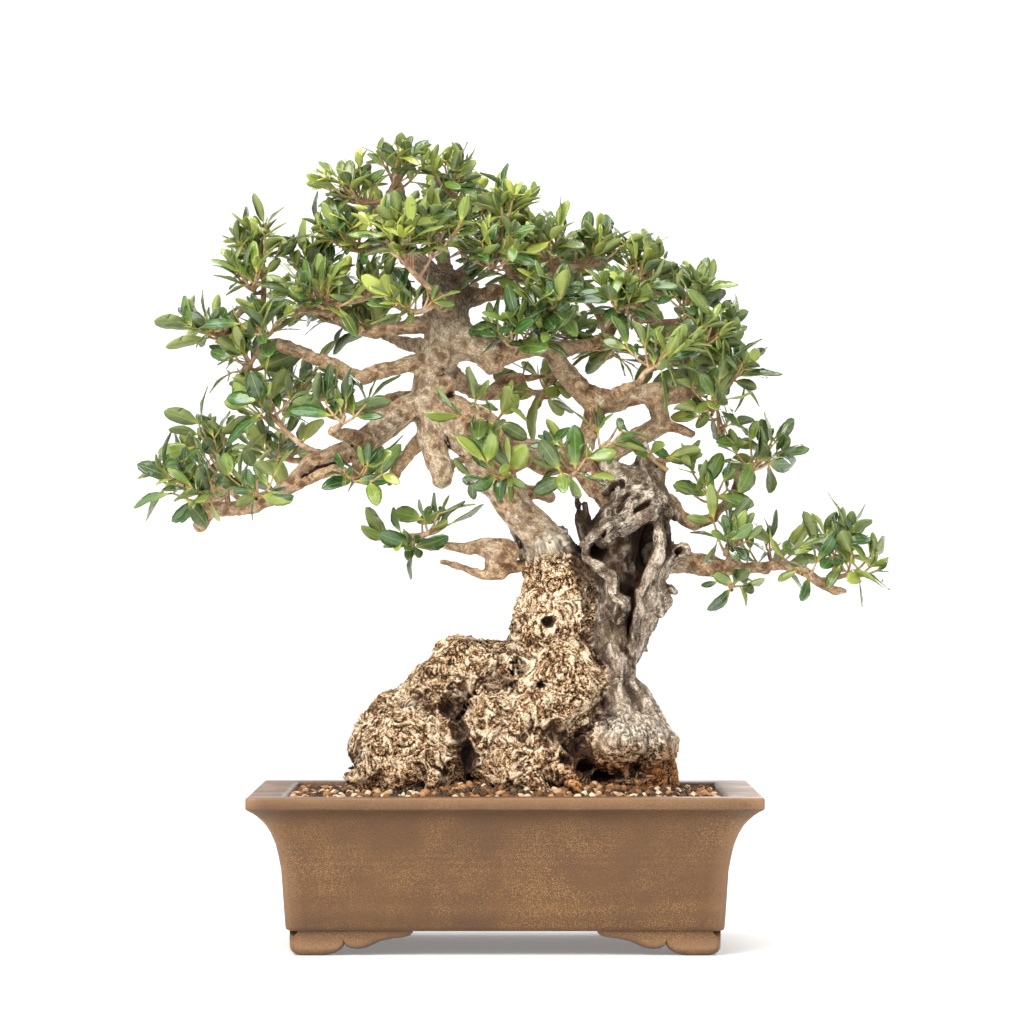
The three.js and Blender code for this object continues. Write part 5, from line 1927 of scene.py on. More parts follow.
@dataclass
class Wood:
    """All the wood: the burled base with the neck and the dead trunk, and the live limbs."""

    base_step: float = 1.05
    limb_step: float = 1.15
    base_faces: int = 196000
    limb_faces: int = 132000
    base_low: Point3 = (-118, -78, 80)
    base_high: Point3 = (124, 72, 306)
    limb_low: Point3 = (-196, -72, 198)
    limb_high: Point3 = (214, 96, 456)
    rough_limbs: tuple[str, ...] = ("neck", "vein")
    # Widths of the fillets where each kind of form joins or is cut out.
    burl_soft: float = 11.0
    neck_soft: float = 6.0
    dead_soft: float = 3.0
    ridge_soft: float = 2.6
    cut_soft: float = 2.0
    pit_soft: float = 3.0
    knot_soft: float = 1.6
    hole_soft: float = 1.5
    mouth_depth: float = 5.0
    relief: float = 2.7  # from the base's deepest crack to its highest crest
    limb_relief: float = 1.5
    noise: Noise = field(default_factory=lambda: Noise(SEED))

    def __post_init__(self) -> None:
        """Makes both forms, which the foliage and the soil read too."""
        self.base = self._base_form()
        self.limbs = self._limb_form()

    def _base_form(self) -> Form:
        """The base, the neck and the dead trunk as one form.

        Returns:
            The form.
        """
        form = Form(self.base_low, self.base_high, self.base_step)
        self.holes: list[Egg] = []
        for sizes in BURLS.values():
            form.egg(sizes, self.burl_soft)
        for name in self.rough_limbs:
            form.limb(smooth_line(LIMBS[name], 3.0), self.neck_soft)
        form.warp(self._gnarl, 9.0)
        for points in DEAD_LIMBS.values():
            form.limb(smooth_line(points, 3.0), self.dead_soft)
        form.warp(self._mouth, 26.0)
        for points in RIDGES.values():
            form.limb(smooth_line(points, 2.5), self.ridge_soft)
        for points in CUTS.values():
            form.limb(smooth_line(points, 2.5), self.cut_soft, cut=True)
        for pit in PITS:
            y = form.seat(pit.x, pit.z)
            egg = (pit.x, y, pit.z, pit.wide, pit.deep, pit.high)
            form.egg(egg, self.pit_soft, cut=True)
            self.holes.append(egg)
        self.knots = []
        for knot in KNOTS:
            y = form.seat(knot.x, knot.z, knot.back)
            self.knots.append(np.array([knot.x, y, knot.z, knot.reach]))
            if knot.deep:
                size = knot.reach * 0.36
                egg = (knot.x, y, knot.z, size, knot.deep, size * 0.85)
                form.egg(egg, self.knot_soft, cut=True)
                if knot.deep > 3:
                    self.holes.append(egg)
        form.warp(self._fold, 4.0)
        return form

    def _mouth(self, points: Array) -> Array:
        """How far the dead trunk is pushed out at each place; its mouth is pushed in.

        Args:
            points: Places, in millimetres.

        Returns:
            A distance for each, less than nothing inward.
        """
        inside = self._mouth_share(points)
        x, z = points[:, 0], points[:, 2]
        depth = self.mouth_depth + self.noise.layers(points, 7.0, 2) * 3.0
        for cx, cz, a, c, deep in DEEPEST:
            depth += deep * np.exp(-(((x - cx) / a) ** 2) - ((z - cz) / c) ** 2)
        return -inside * depth

    def _mouth_share(self, points: Array) -> Array:
        """How far inside the mouth's outline each place at the front lies, from 0 to 1.

        Args:
            points: Places, in millimetres.

        Returns:
            A share for each.
        """
        drift = self.noise.layers(points, 6.0, 2)
        place = points[:, [0, 2]] + np.stack([drift, np.roll(drift, 7)], 1) * 1.2
        gap = np.full(len(points), np.inf)
        within = np.zeros(len(points), bool)
        for (ax, az), (bx, bz) in zip(MOUTH, [*MOUTH[1:], MOUTH[0]]):
            edge = np.array([bx - ax, bz - az])
            away = place - (ax, az)
            share = np.clip(away @ edge / (edge @ edge), 0, 1)
            gap = np.minimum(gap, np.linalg.norm(away - share[:, None] * edge, axis=1))
            across = ax + away[:, 1] * edge[0] / (edge[1] if edge[1] else 1e-6)
            within ^= ((place[:, 1] >= az) != (place[:, 1] >= bz)) & (place[:, 0] < across)
        return np.where(within, smooth_step(-0.5, 3.2, gap), 0.0) * (points[:, 1] < 2)

    def _gnarl(self, points: Array) -> Array:
        """Lumps that the live base stands out in, in millimetres.

        Args:
            points: Places, in millimetres.

        Returns:
            How far out, at each.
        """
        lumps = self.noise.layers(points, 22.0, 2) * 3.0
        buttons = self.noise.ridges(points * [1, 1, 0.8], 12.0, 2) * 4.2 - 2.2
        return lumps + buttons

    def _fold(self, points: Array) -> Array:
        """Bands of bark, rings round the knots and long grooves in the dead wood."""
        return (self._crest(points) - 0.5) * self.relief

    def _crest(self, points: Array) -> Array:
        """How high the base's relief stands at each place, from 0 in a crack to 1 on a crest.

        Args:
            points: Places, in millimetres.

        Returns:
            A share for each.
        """
        rings, near = self._swirl(points)
        moved = points + sum(
            reach * np.stack([self.noise.at(points + 31 * k, size) for k in range(3)], 1)
            for reach, size in ((4.5, 13.0), (1.6, 4.5)))
        level = self.noise.layers(moved, 16.0, 2) * 5.6
        ringed = rings / 3.6 + self.noise.layers(points, 8.0, 2) * 1.7
        mixed = 0.8 * near
        band = np.abs(np.sin(math.pi * (level * (1 - mixed) + ringed * mixed)))
        chips = self.noise.ridges(moved, 4.6, 2)
        live = band**0.8 * (0.3 + 0.9 * chips)
        grooves = self.noise.ridges(moved * [1, 1, 0.3], 5.0, 2)
        knobs = self.noise.layers(moved, 8.0, 2)
        grooves = 0.1 + 0.75 * grooves + 0.4 * knobs
        low = smooth_step(160, 132, points[:, 2])
        dead = grooves * (1 - low) + (0.2 + 0.75 * live) * low
        share = self._deadness(points)
        return np.clip(live * (1 - share) + dead * share, 0, 1)

    def _swirl(self, points: Array) -> tuple[Array, Array]:
        """Distance from the nearest knot's middle and how much its rings show, from 0 to 1.

        Args:
            points: Places, in millimetres.

        Returns:
            The distances and the shares.
        """
        best = np.full(len(points), np.inf)
        ring = np.zeros(len(points))
        near = np.zeros(len(points))
        for knot in self.knots:
            away = np.linalg.norm(points - knot[:3], axis=1)
            nearer = away / knot[3] < best
            best = np.where(nearer, away / knot[3], best)
            ring = np.where(nearer, away, ring)
            near = np.where(nearer, smooth_step(1.25, 0.55, away / knot[3]), near)
        return ring, near

    def _deadness(self, points: Array) -> Array:
        """How much each place belongs to the dead trunk, from 0 to 1.

        Args:
            points: Places, in millimetres.

        Returns:
            A share for each.
        """
        dead_points = [DEAD_LIMBS[n] for n in DEAD_LIMBS if n != "web"]
        dead_points += [line for name, line in RIDGES.items() if not name.startswith("root")]
        dead = self._nearest(points, dead_points)[0]
        live = self._nearest(points, [LIMBS["neck"]])[0]
        for name, (x, y, z, a, b, c) in BURLS.items():
            if name in ("low_right", "knob_right"):
                continue
            level = np.linalg.norm((points - (x, y, z)) / (a, b, c), axis=1)
            live = np.minimum(live, (level - 1) * min(a, b, c))
        edge = self.noise.at(points, 9.0) * 3.0
        return smooth_step(-2.0, 2.5, live - dead + edge) * smooth_step(110, 128, points[:, 2])

    @staticmethod
    def _nearest(points: Array, limbs: list[list[Point4]]) -> tuple[Array, Array, Array]:
        """The nearest limb to each place.

        Args:
            points: Places, in millimetres.
            limbs: Rows of (x, y, z, radius).

        Returns:
            Distance from its surface, its radius there, and (across, over, along) places that
            run with it.
        """
        gap = np.full(len(points), np.inf)
        girth = np.zeros(len(points))
        grain = np.zeros((len(points), 3))
        for number, limb in enumerate(limbs):
            line = np.asarray(limb, float)
            side = np.array([0.0, 1.0, 0.0])
            run = 40.0 * number
            for start, end in zip(line, line[1:]):
                along = (end - start)[:3]
                length = max(float(np.linalg.norm(along)), 1e-6)
                side = side - along * (side @ along) / length**2
                side /= max(float(np.linalg.norm(side)), 1e-6)
                over = np.cross(along / length, side)
                away = points - start[:3]
                share = np.clip(away @ along / length**2, 0, 1)
                radius = start[3] + share * (end[3] - start[3])
                rest = away - share[:, None] * along
                here = np.linalg.norm(rest, axis=1) - radius
                nearer = here < gap
                gap = np.where(nearer, here, gap)
                girth = np.where(nearer, radius, girth)
                places = np.stack([rest @ side, rest @ over, run + share * length], 1)
                grain = np.where(nearer[:, None], places, grain)
                run += length
        return gap, girth, grain

    def _limb_form(self) -> Form:
        """The live trunk and its limbs as one form.

        Returns:
            The form.
        """
        form = Form(self.limb_low, self.limb_high, self.limb_step)
        for name, points in LIMBS.items():
            if name in self.rough_limbs:
                continue
            line = smooth_line(points, 2.5)
            swell = self.noise.layers(line[:, :3], 16.0, 2)
            thick = smooth_step(1.5, 5.0, line[:, 3])
            line[:, 3] *= 1 + 0.2 * swell * thick
            form.limb(line, soft=1.0 + 0.22 * float(line[:, 3].max()))
        form.limb(smooth_line(LIMBS["neck"][3:], 3.0)[:, :4] - [0, 0, 0, 3.2], soft=3.0)
        for x, y, z, reach in LIMB_KNOBS:
            form.egg((x, y, z, reach, reach, reach), soft=3.0)
        for x, y, z, reach in LIMB_HOLES:
            y = form.seat(x, z) if y == 0 else y
            form.egg((x, y, z, reach, reach, reach), self.hole_soft, cut=True)
        form.warp(self._bark, 4.0)
        return form

    def _bark(self, points: Array) -> Array:
        """Knobs and swellings of the limbs' bark, in millimetres."""
        swell = self.noise.layers(points, 10.0, 2) * 1.1 + self.noise.layers(points, 4.5, 2) * 0.45
        return swell + self._scales(points) * self.limb_relief - 0.65

    def _scales(self, points: Array) -> Array:
        """How high the limbs' bark stands at each place, from 0 in a crease to 1."""
        return self.noise.ridges(points, 6.0, 2)

    def distance(self, points: Array) -> Array:
        """Distance from the wood at each place, in millimetres."""
        return np.minimum(self.base.distance(points), self.limbs.distance(points))

    @staticmethod
    def _hollowness(form: Form, points: Array, reaches: tuple[float, ...]) -> Array:
        """How sunk each point of a form's surface lies, from 0 in the open to 1.

        Args:
            form: The form.
            points: Its surface's points.
            reaches: How far out each look reaches.

        Returns:
            A share for each.
        """
        out = form.outward(points)
        shut = [
            np.clip(1 - form.distance(points + out * reach) / reach, 0, 1) for reach in reaches
        ]
        return np.clip(sum(shut) / len(reaches) * 1.3, 0, 1)

    def _smoothness(self, points: Array, reach: float = 5.0) -> Array:
        """How far each place lies up the neck, where the bark turns smooth, from 0 to 1.

        Args:
            points: Places, in millimetres.
            reach: Half the height over which it turns.

        Returns:
            A share for each.
        """
        level = points[:, 2] - 0.12 * (points[:, 0] - 30) + self.noise.layers(points, 8.0, 2) * 5.0
        on_neck = np.linalg.norm(points[:, :2] - [24, -2], axis=1) < 26
        return smooth_step(234 - reach, 236 + reach, level) * on_neck

    def build_base(self, place: Place, bark: bpy.types.Material) -> bpy.types.Object:
        """Makes the base, the neck and the dead trunk.

        Args:
            place: Where the pot stands.
            bark: Its material.

        Returns:
            The base, which stands for part of the trunk.
        """
        points, faces = lighten(*self.base.surface(), self.base_faces)
        dead_points = [*DEAD_LIMBS.values(), *RIDGES.values(), LIMBS["neck"]]
        made = make_mesh("wood_base", place.metres(points), faces, [bark])
        set_values(made, "crest", self._crest(points))
        dead = self._deadness(points)
        set_values(made, "dead", dead)
        low = smooth_step(132, 98, points[:, 2]) * smooth_step(10, 60, points[:, 0])
        set_values(made, "rust", np.clip(low + 0.35 * smooth_step(118, 92, points[:, 2]), 0, 1))
        spike = smooth_step(242, 250, points[:, 2]) * (points[:, 0] < 56)
        lips = smooth_step(-0.8, 1.2, self._nearest(points, [*RIDGES.values()])[0])
        inside = self._mouth_share(points) * lips
        set_values(made, "inner", np.maximum(inside, spike))
        # How sunk each point lies, with the mouth's deep inside and the cut holes, which the bark
        # darkens as painted shade.
        hollow = self._hollowness(self.base, points, (3.0, 7.0, 14.0))
        deep = inside * smooth_step(-21, -9, points[:, 1])
        hollow = np.maximum(hollow * (0.8 + 0.2 * (1 - dead)), deep)
        for x, y, z, a, b, c in self.holes:
            level = np.linalg.norm((points - (x, y, z)) / (a, b, c), axis=1)
            sunk = smooth_step(1.5, 0.95, level) * smooth_step(0.15, 0.75, (points[:, 1] - y) / b)
            hollow = np.maximum(hollow, sunk)
        set_values(made, "hollow", hollow)
        # Darker towards the soil line.
        darker_near_soil = smooth_step(104, 90, points[:, 2] + self.noise.layers(points, 9.0, 2) * 9.0)
        # Painted shade in the coves between the lobes, from how sunk each point lies at a wide
        # reach.
        cove = self._hollowness(self.base, points, (10.0, 20.0))
        set_values(made, "cove", np.maximum(cove, 0.62 * darker_near_soil))
        set_values(made, "smooth", self._smoothness(points) * (1 - dead))
        set_vectors(made, "grain", self._nearest(points, dead_points)[2])
        return hand_in(made, "bark", "trunk")

    def build_limbs(self, place: Place, bark: bpy.types.Material) -> bpy.types.Object:
        """Makes the live trunk and its limbs.

        Args:
            place: Where the pot stands.
            bark: Their material.

        Returns:
            The limbs, which stand for the rest of the trunk.
        """
        points, faces = lighten(*self.limbs.surface(), self.limb_faces)
        limbs = [line for name, line in LIMBS.items() if name not in self.rough_limbs]
        _, girth, grain = self._nearest(points, limbs)
        made = make_mesh("wood_limbs", place.metres(points), faces, [bark])
        set_values(made, "girth", girth)
        set_values(made, "crest", self._scales(points))
        near_neck = np.linalg.norm(points[:, :2] - [26, 0], axis=1) < 34
        rough = (1 - self._smoothness(points, 8.0)) * near_neck
        for x, y, z, reach in LIMB_KNOBS:
            away = np.linalg.norm(points - (x, y, z), axis=1)
            rough = np.maximum(rough, smooth_step(reach + 5, reach - 3, away) * 0.3)
        set_values(made, "rough", rough)
        set_values(made, "dark", smooth_step(36, 13, np.linalg.norm(points - [-37, 0, 391], axis=1)))
        # How sunk each point lies, from which the bark paints shade.
        set_values(made, "hollow", self._hollowness(self.limbs, points, (2.5, 5.0)))
        set_vectors(made, "grain", grain)
        return hand_in(made, "bark", "trunk")


# ---- the foliage


def unit(vectors: Array) -> Array:
    """Each row one unit long."""
    return vectors / np.maximum(np.linalg.norm(vectors, axis=-1, keepdims=True), 1e-9)


@dataclass
class LeafBlade:
    """The leaf that every leaf is drawn from: a thin closed blade on a short stalk."""

    along: tuple[float, ...] = (-0.15, -0.01, 0.11, 0.3, 0.53, 0.75, 0.92, 1.0)
    wide: tuple[float, ...] = (0.1, 0.14, 0.5, 0.88, 1.0, 0.88, 0.53, 0.06)
    across: tuple[float, ...] = (-1.0, -0.52, 0.0, 0.52, 1.0)
    thick: float = 0.4
    stalk_thick: float = 0.9

    def __post_init__(self) -> None:
        """Lays out the points and faces: five points across above, and one more below."""
        rows, columns = len(self.along), len(self.across)
        grid = np.arange(rows * columns).reshape(rows, columns)
        spine = rows * columns + np.arange(rows)
        under = np.stack([grid[:, 0], spine, grid[:, -1]], 1)
        top = np.stack([grid[:-1, :-1], grid[:-1, 1:], grid[1:, 1:], grid[1:, :-1]], -1)
        low = np.stack([under[:-1, :-1], under[1:, :-1], under[1:, 1:], under[:-1, 1:]], -1)
        first, last = grid[0, ::-1], grid[-1]
        ends = [[*ring[k:k + 3], keel] for ring, keel in ((first, spine[0]), (last, spine[-1]))
                for k in (0, 2)]
        self.faces = np.vstack([top.reshape(-1, 4), low.reshape(-1, 4), ends])
        sides = [np.zeros(top.shape[:2], int), np.ones(low.shape[:2], int)]
        for side in sides:
            side[0] = 2
        self.face_slots = np.concatenate([*(s.ravel() for s in sides), np.full(len(ends), 2)])
        self.t = np.concatenate([np.repeat(self.along, columns), self.along])
        self.x = np.concatenate([np.tile(self.across, rows), np.zeros(rows)])
        self.w = np.concatenate([np.repeat(self.wide, columns), self.wide])
        body = np.interp(self.t, [-0.1, 0.1], [self.stalk_thick, self.thick])
        below = np.arange(len(self.t)) >= rows * columns
        self.lift = np.where(below, -body / 2, body / 2) * (1 - np.abs(self.x) ** 4)


@dataclass(frozen=True)
class Leaf:
    """One leaf: where it starts, which way it points and faces, and its sizes."""

    base: Array
    way: Array
    face: Array
    sizes: list[float]  # length, width, fold, arch, tone, young


@dataclass
class Foliage:
    """The sprays of leaves: each a branched twig with whorls and pairs of leaves."""

    place: Place
    wood: Wood
    materials: list[bpy.types.Material]  # of the leaves' tops and undersides and of the twigs
    blade: LeafBlade = field(default_factory=LeafBlade)
    length: float = 16.6
    shortest: float = 10.0
    longest: float = 27.0
    slender: tuple[float, float] = (0.38, 0.56)
    node_gap: float = 10.2
    shoot_gap: float = 10.9
    twig: float = 1.6
    twig_end: float = 0.6
    twig_sides: int = 6
    clear: float = 1.2  # least gap between a leaf and the wood
    margin: float = 0.8  # how far the leaves stay inside the solids' box
    fewest_shoots: int = 3
    most_shoots: int = 16
    shoot_turn: float = 2.4  # radians from one shoot to the next, so that they fill the pad
    whorl: float = 0.45  # share of the shoots that end in four leaves
    lost: float = 0.12  # share of the leaves missing, for each pair down from the tip
    heart: Point3 = (-10, 10, 318)

    def build(self) -> list[bpy.types.Object]:
        """Makes every spray.

        Returns:
            The sprays, each of which stands for the frame's node of its name.
        """
        low, high = (np.array([*corner]) for corner in BOX_AT_LOAD)
        self.low = (low - self.place.shift) / MM + self.margin
        self.high = (high - self.place.shift) / MM - self.margin
        made = []
        for number, (name, (root, pads)) in enumerate(SPRAYS.items()):
            rng = np.random.default_rng(SEED + 31 * number)
            made.append(self.spray(name, root, pads, rng))
        return made

    def spray(
        self, name: str, root: Point3, pads: list[Egg], rng: np.random.Generator
    ) -> bpy.types.Object:
        """Makes one spray.

        Args:
            name: Its name in the table.
            root: Where it leaves the wood.
            pads: The eggs that its leaves fill.
            rng: Its own random numbers.

        Returns:
            The spray.
        """
        leaves: list[Leaf] = []
        twigs: list[Array] = []
        start = np.array(root, float)
        fork = start
        for number, pad in enumerate(pads):
            centre, reach = np.array(pad[:3], float), np.array(pad[3:], float)
            seat = centre - [0, 0, 0.45 * reach[2]]
            bend = (fork + seat) / 2 + rng.normal(0, 2.0, 3) - [0, 0, 1.5]
            thick = self.twig * (1.25 if number == 0 else 1.0)
            ends = [[*fork, thick], [*bend, thick * 0.85], [*seat, thick * 0.7]]
            stem = smooth_line(np.array(ends), 3.0)
            twigs.append(stem)
            self.shoots(stem, centre, reach, leaves, twigs, rng)
            if number == 0:
                fork = stem[len(stem) // 3, :3]
        points, faces, slots, values = self.draw(leaves)
        groups, slot_groups, all_points, all_values = [faces], [slots], [points], [values]
        start_at = len(points)
        for tube_points, tube_faces, young in (self.tube(t) for t in twigs if len(t) > 1):
            groups.append(tube_faces + start_at)
            slot_groups.append(np.full(len(tube_faces), 2))
            all_points.append(tube_points)
            blank = np.zeros((len(tube_points), 5))
            blank[:, 1] = young
            all_values.append(blank)
            start_at += len(tube_points)
        points = np.clip(np.vstack(all_points), self.low, self.high)
        made = make_mesh(f"spray_{name}_leaves", self.place.metres(points), groups,
                         self.materials, np.concatenate(slot_groups))
        values = np.vstack(all_values)
        set_values(made, "tone", values[:, 0])
        set_values(made, "young", values[:, 1])
        set_vectors(made, "blade", values[:, 2:])
        return hand_in(made, "leaf", f"spray_{name}")

    def shoots(self, stem: Array, centre: Array, reach: Array, leaves: list[Leaf],
               twigs: list[Array], rng: np.random.Generator) -> None:
        """Adds a pad's shoots and their leaves.

        Args:
            stem: The twig that carries them.
            centre: The pad's middle.
            reach: The pad's three reaches.
            leaves: Takes the leaves.
            twigs: Takes the shoots.
            rng: Random numbers.
        """
        area = reach[0] * reach[1] + (reach[0] + reach[1]) * reach[2]
        high = float(smooth_step(300, 400, centre[2]))
        count = round(area / self.shoot_gap**2 * (0.85 + 0.7 * high))
        count = int(np.clip(count, self.fewest_shoots, self.most_shoots))
        spin = rng.uniform(0, 2 * math.pi)
        out = unit(centre - self.heart)
        for k in range(count):
            rise = 0.95 - 1.3 * (k + 0.5) / count
            turn = spin + k * self.shoot_turn + rng.uniform(-0.3, 0.3)
            flat = math.sqrt(max(0.0, 1 - rise * rise))
            way = np.array([flat * math.cos(turn), flat * math.sin(turn), rise])
            way = unit(way + 0.25 * out + rng.normal(0, 0.25, 3))
            end = centre + way * reach * rng.uniform(0.3, 0.95)
            share = rng.uniform(0.55, 1.0)
            foot = stem[int(share * (len(stem) - 1)), :3]
            middle = (foot + end) / 2 + [0, 0, -0.1 * np.linalg.norm(end - foot)]
            thin = self.twig * 0.6
            ends = [[*foot, thin], [*middle, thin * 0.8], [*end, self.twig_end]]
            shoot = smooth_line(np.array(ends), 2.5)
            twigs.append(shoot)
            self.leaves_on(shoot, leaves, rng)

    def leaves_on(self, shoot: Array, leaves: list[Leaf], rng: np.random.Generator) -> None:
        """Adds pairs of leaves along a shoot and a whorl at its end.

        Args:
            shoot: The shoot's line.
            leaves: Takes the leaves.
            rng: Random numbers.
        """
        steps = np.linalg.norm(np.diff(shoot[:, :3], axis=0), axis=1)
        run = np.concatenate([[0], np.cumsum(steps)])
        length = run[-1]
        high = smooth_step(330, 470, np.array(shoot[-1, 2]))
        age = rng.uniform(0, 1) ** 1.6 * (0.4 + 0.6 * high)
        spin = rng.uniform(0, math.pi)
        gap = self.node_gap * rng.uniform(0.8, 1.15)
        places = np.arange(length, max(length * 0.22, length - 28), -gap)
        lift = np.array([0, 0, 0.35 * float(high)]) + rng.normal(0, 0.3, 3)
        light = unit(shoot[-1, :3] - self.heart) * 0.55 + [0, 0, 0.3]
        for k, at in enumerate(places):
            point = np.array([np.interp(at, run, shoot[:, a]) for a in range(3)])
            near = np.array([np.interp(max(at - 2, 0), run, shoot[:, a]) for a in range(3)])
            ahead = unit(unit(point - near + [0, 0, 1e-3]) + lift)
            side = unit(np.cross(ahead, [0.13, 0.21, 1.0]))
            over = np.cross(side, ahead)
            pair = [0.0, math.pi]
            if k == 0 and rng.random() < self.whorl:
                pair += [math.pi / 2, 1.5 * math.pi]
            for j, phase in enumerate(pair):
                if rng.random() < self.lost * k:
                    continue
                angle = spin + k * math.pi / 2 + phase + rng.normal(0, 0.3)
                lean = (0.3 if j > 1 else 0.66) + 0.3 * min(k, 2) + rng.normal(0, 0.24)
                round_shoot = side * math.cos(angle) + over * math.sin(angle)
                way = unit(ahead * math.cos(lean) + round_shoot * math.sin(lean)
                           + rng.normal(0, 0.2, 3))
                face = 0.5 * ahead + light + rng.normal(0, 0.42, 3)
                face = unit(face - way * (face @ way))
                size = self.length * rng.uniform(0.68, 1.32) * (0.66 if j > 1 else 1.0)
                size *= (0.9 if k == 0 else 1.06) * (1.12 - 0.22 * float(high))
                size = float(np.clip(size, self.shortest, self.longest))
                newer = age * (1.0 if k == 0 else 0.5 / k) * rng.uniform(0.5, 1.2)
                leaves.append(Leaf(point, way, face, [
                    size, size * rng.uniform(*self.slender), rng.uniform(0.1, 0.5),
                    rng.uniform(-0.06, 0.28), float(rng.beta(0.8, 1.3)),
                    float(np.clip(newer, 0, 1)),
                ]))

    def draw(self, leaves: list[Leaf]) -> tuple[Array, Array, Array, Array]:
        """Draws the leaves that lie clear of the wood.

        Args:
            leaves: The leaves.

        Returns:
            Points, faces, each face's material slot, and each point's tone, age and place on its
            blade.
        """
        blade = self.blade
        base = np.array([leaf.base for leaf in leaves])[:, None]
        way = np.array([leaf.way for leaf in leaves])[:, None]
        face = np.array([leaf.face for leaf in leaves])[:, None]
        sizes = np.array([leaf.sizes for leaf in leaves])[:, :, None]
        size, width, fold, arch = (sizes[:, k] for k in range(4))
        side = np.cross(way, face)
        t, x, w = blade.t[None], blade.x[None], blade.w[None]
        out = width / 2 * w * x
        bow = np.clip(t, 0, 1)
        rise = np.abs(out) * fold * (1 - 0.5 * bow) - arch * size * bow**2
        rise = rise + blade.lift[None] + 0.04 * width * np.sin(9 * t + 3 * x) * np.abs(x)
        points = (base + way * (size * (t + 0.16))[..., None] + side * out[..., None]
                  + face * rise[..., None])
        count = points.shape[1]
        flat = points.reshape(-1, 3)
        gap = self.wood.distance(flat).reshape(-1, count)
        clear = gap[:, blade.t > 0.05].min(1) > self.clear
        boxed = ((points > self.low) & (points < self.high)).all((1, 2))
        keep = clear & boxed
        points = points[keep]
        made = len(points)
        start = (np.arange(made) * count)[:, None, None]
        faces = (blade.faces[None] + start).reshape(-1, 4)
        slots = np.tile(blade.face_slots, made)
        tone = np.repeat(sizes[keep, 4, 0], count)
        young = np.repeat(sizes[keep, 5, 0], count)
        stalk = np.tile(smooth_step(0.2, -0.05, blade.t), made)
        young = np.clip(young + 0.75 * stalk, 0, 1)
        values = np.column_stack([
            tone, young, np.tile(blade.x, made), np.tile(blade.t, made), np.zeros(made * count),
        ])
        return points.reshape(-1, 3), faces, slots, values

    def tube(self, line: Array) -> tuple[Array, Array, Array]:
        """A round twig along a line of (x, y, z, radius).

        Args:
            line: The line.

        Returns:
            Points, faces and how young each point is.
        """
        sides = self.twig_sides
        ahead = unit(np.gradient(line[:, :3], axis=0))
        side = unit(np.cross(ahead, [0.3, 0.9, 0.1]))
        over = np.cross(ahead, side)
        angle = np.arange(sides) * 2 * math.pi / sides
        ring = (side[:, None] * np.cos(angle)[None, :, None]
                + over[:, None] * np.sin(angle)[None, :, None])
        points = line[:, None, :3] + ring * line[:, 3, None, None]
        ends = np.stack([line[0, :3], line[-1, :3] + ahead[-1] * line[-1, 3]])
        faces = skin_faces(len(line), sides)[:, ::-1]
        last = len(line) * sides
        j = np.arange(sides)
        k = (j + 1) % sides
        far = (len(line) - 1) * sides
        low = np.stack([j, k, np.full(sides, last), np.full(sides, last)], 1)
        high = np.stack([far + k, far + j, np.full(sides, last + 1), np.full(sides, last + 1)], 1)
        young = np.repeat(smooth_step(0.5, 1.0, np.linspace(0, 1, len(line))) * 0.5, sides)
        points = np.vstack([points.reshape(-1, 3), ends])
        young = np.concatenate([young, [0, 0.5]])
        return points, np.vstack([faces, low, high]), young


# ---- the soil


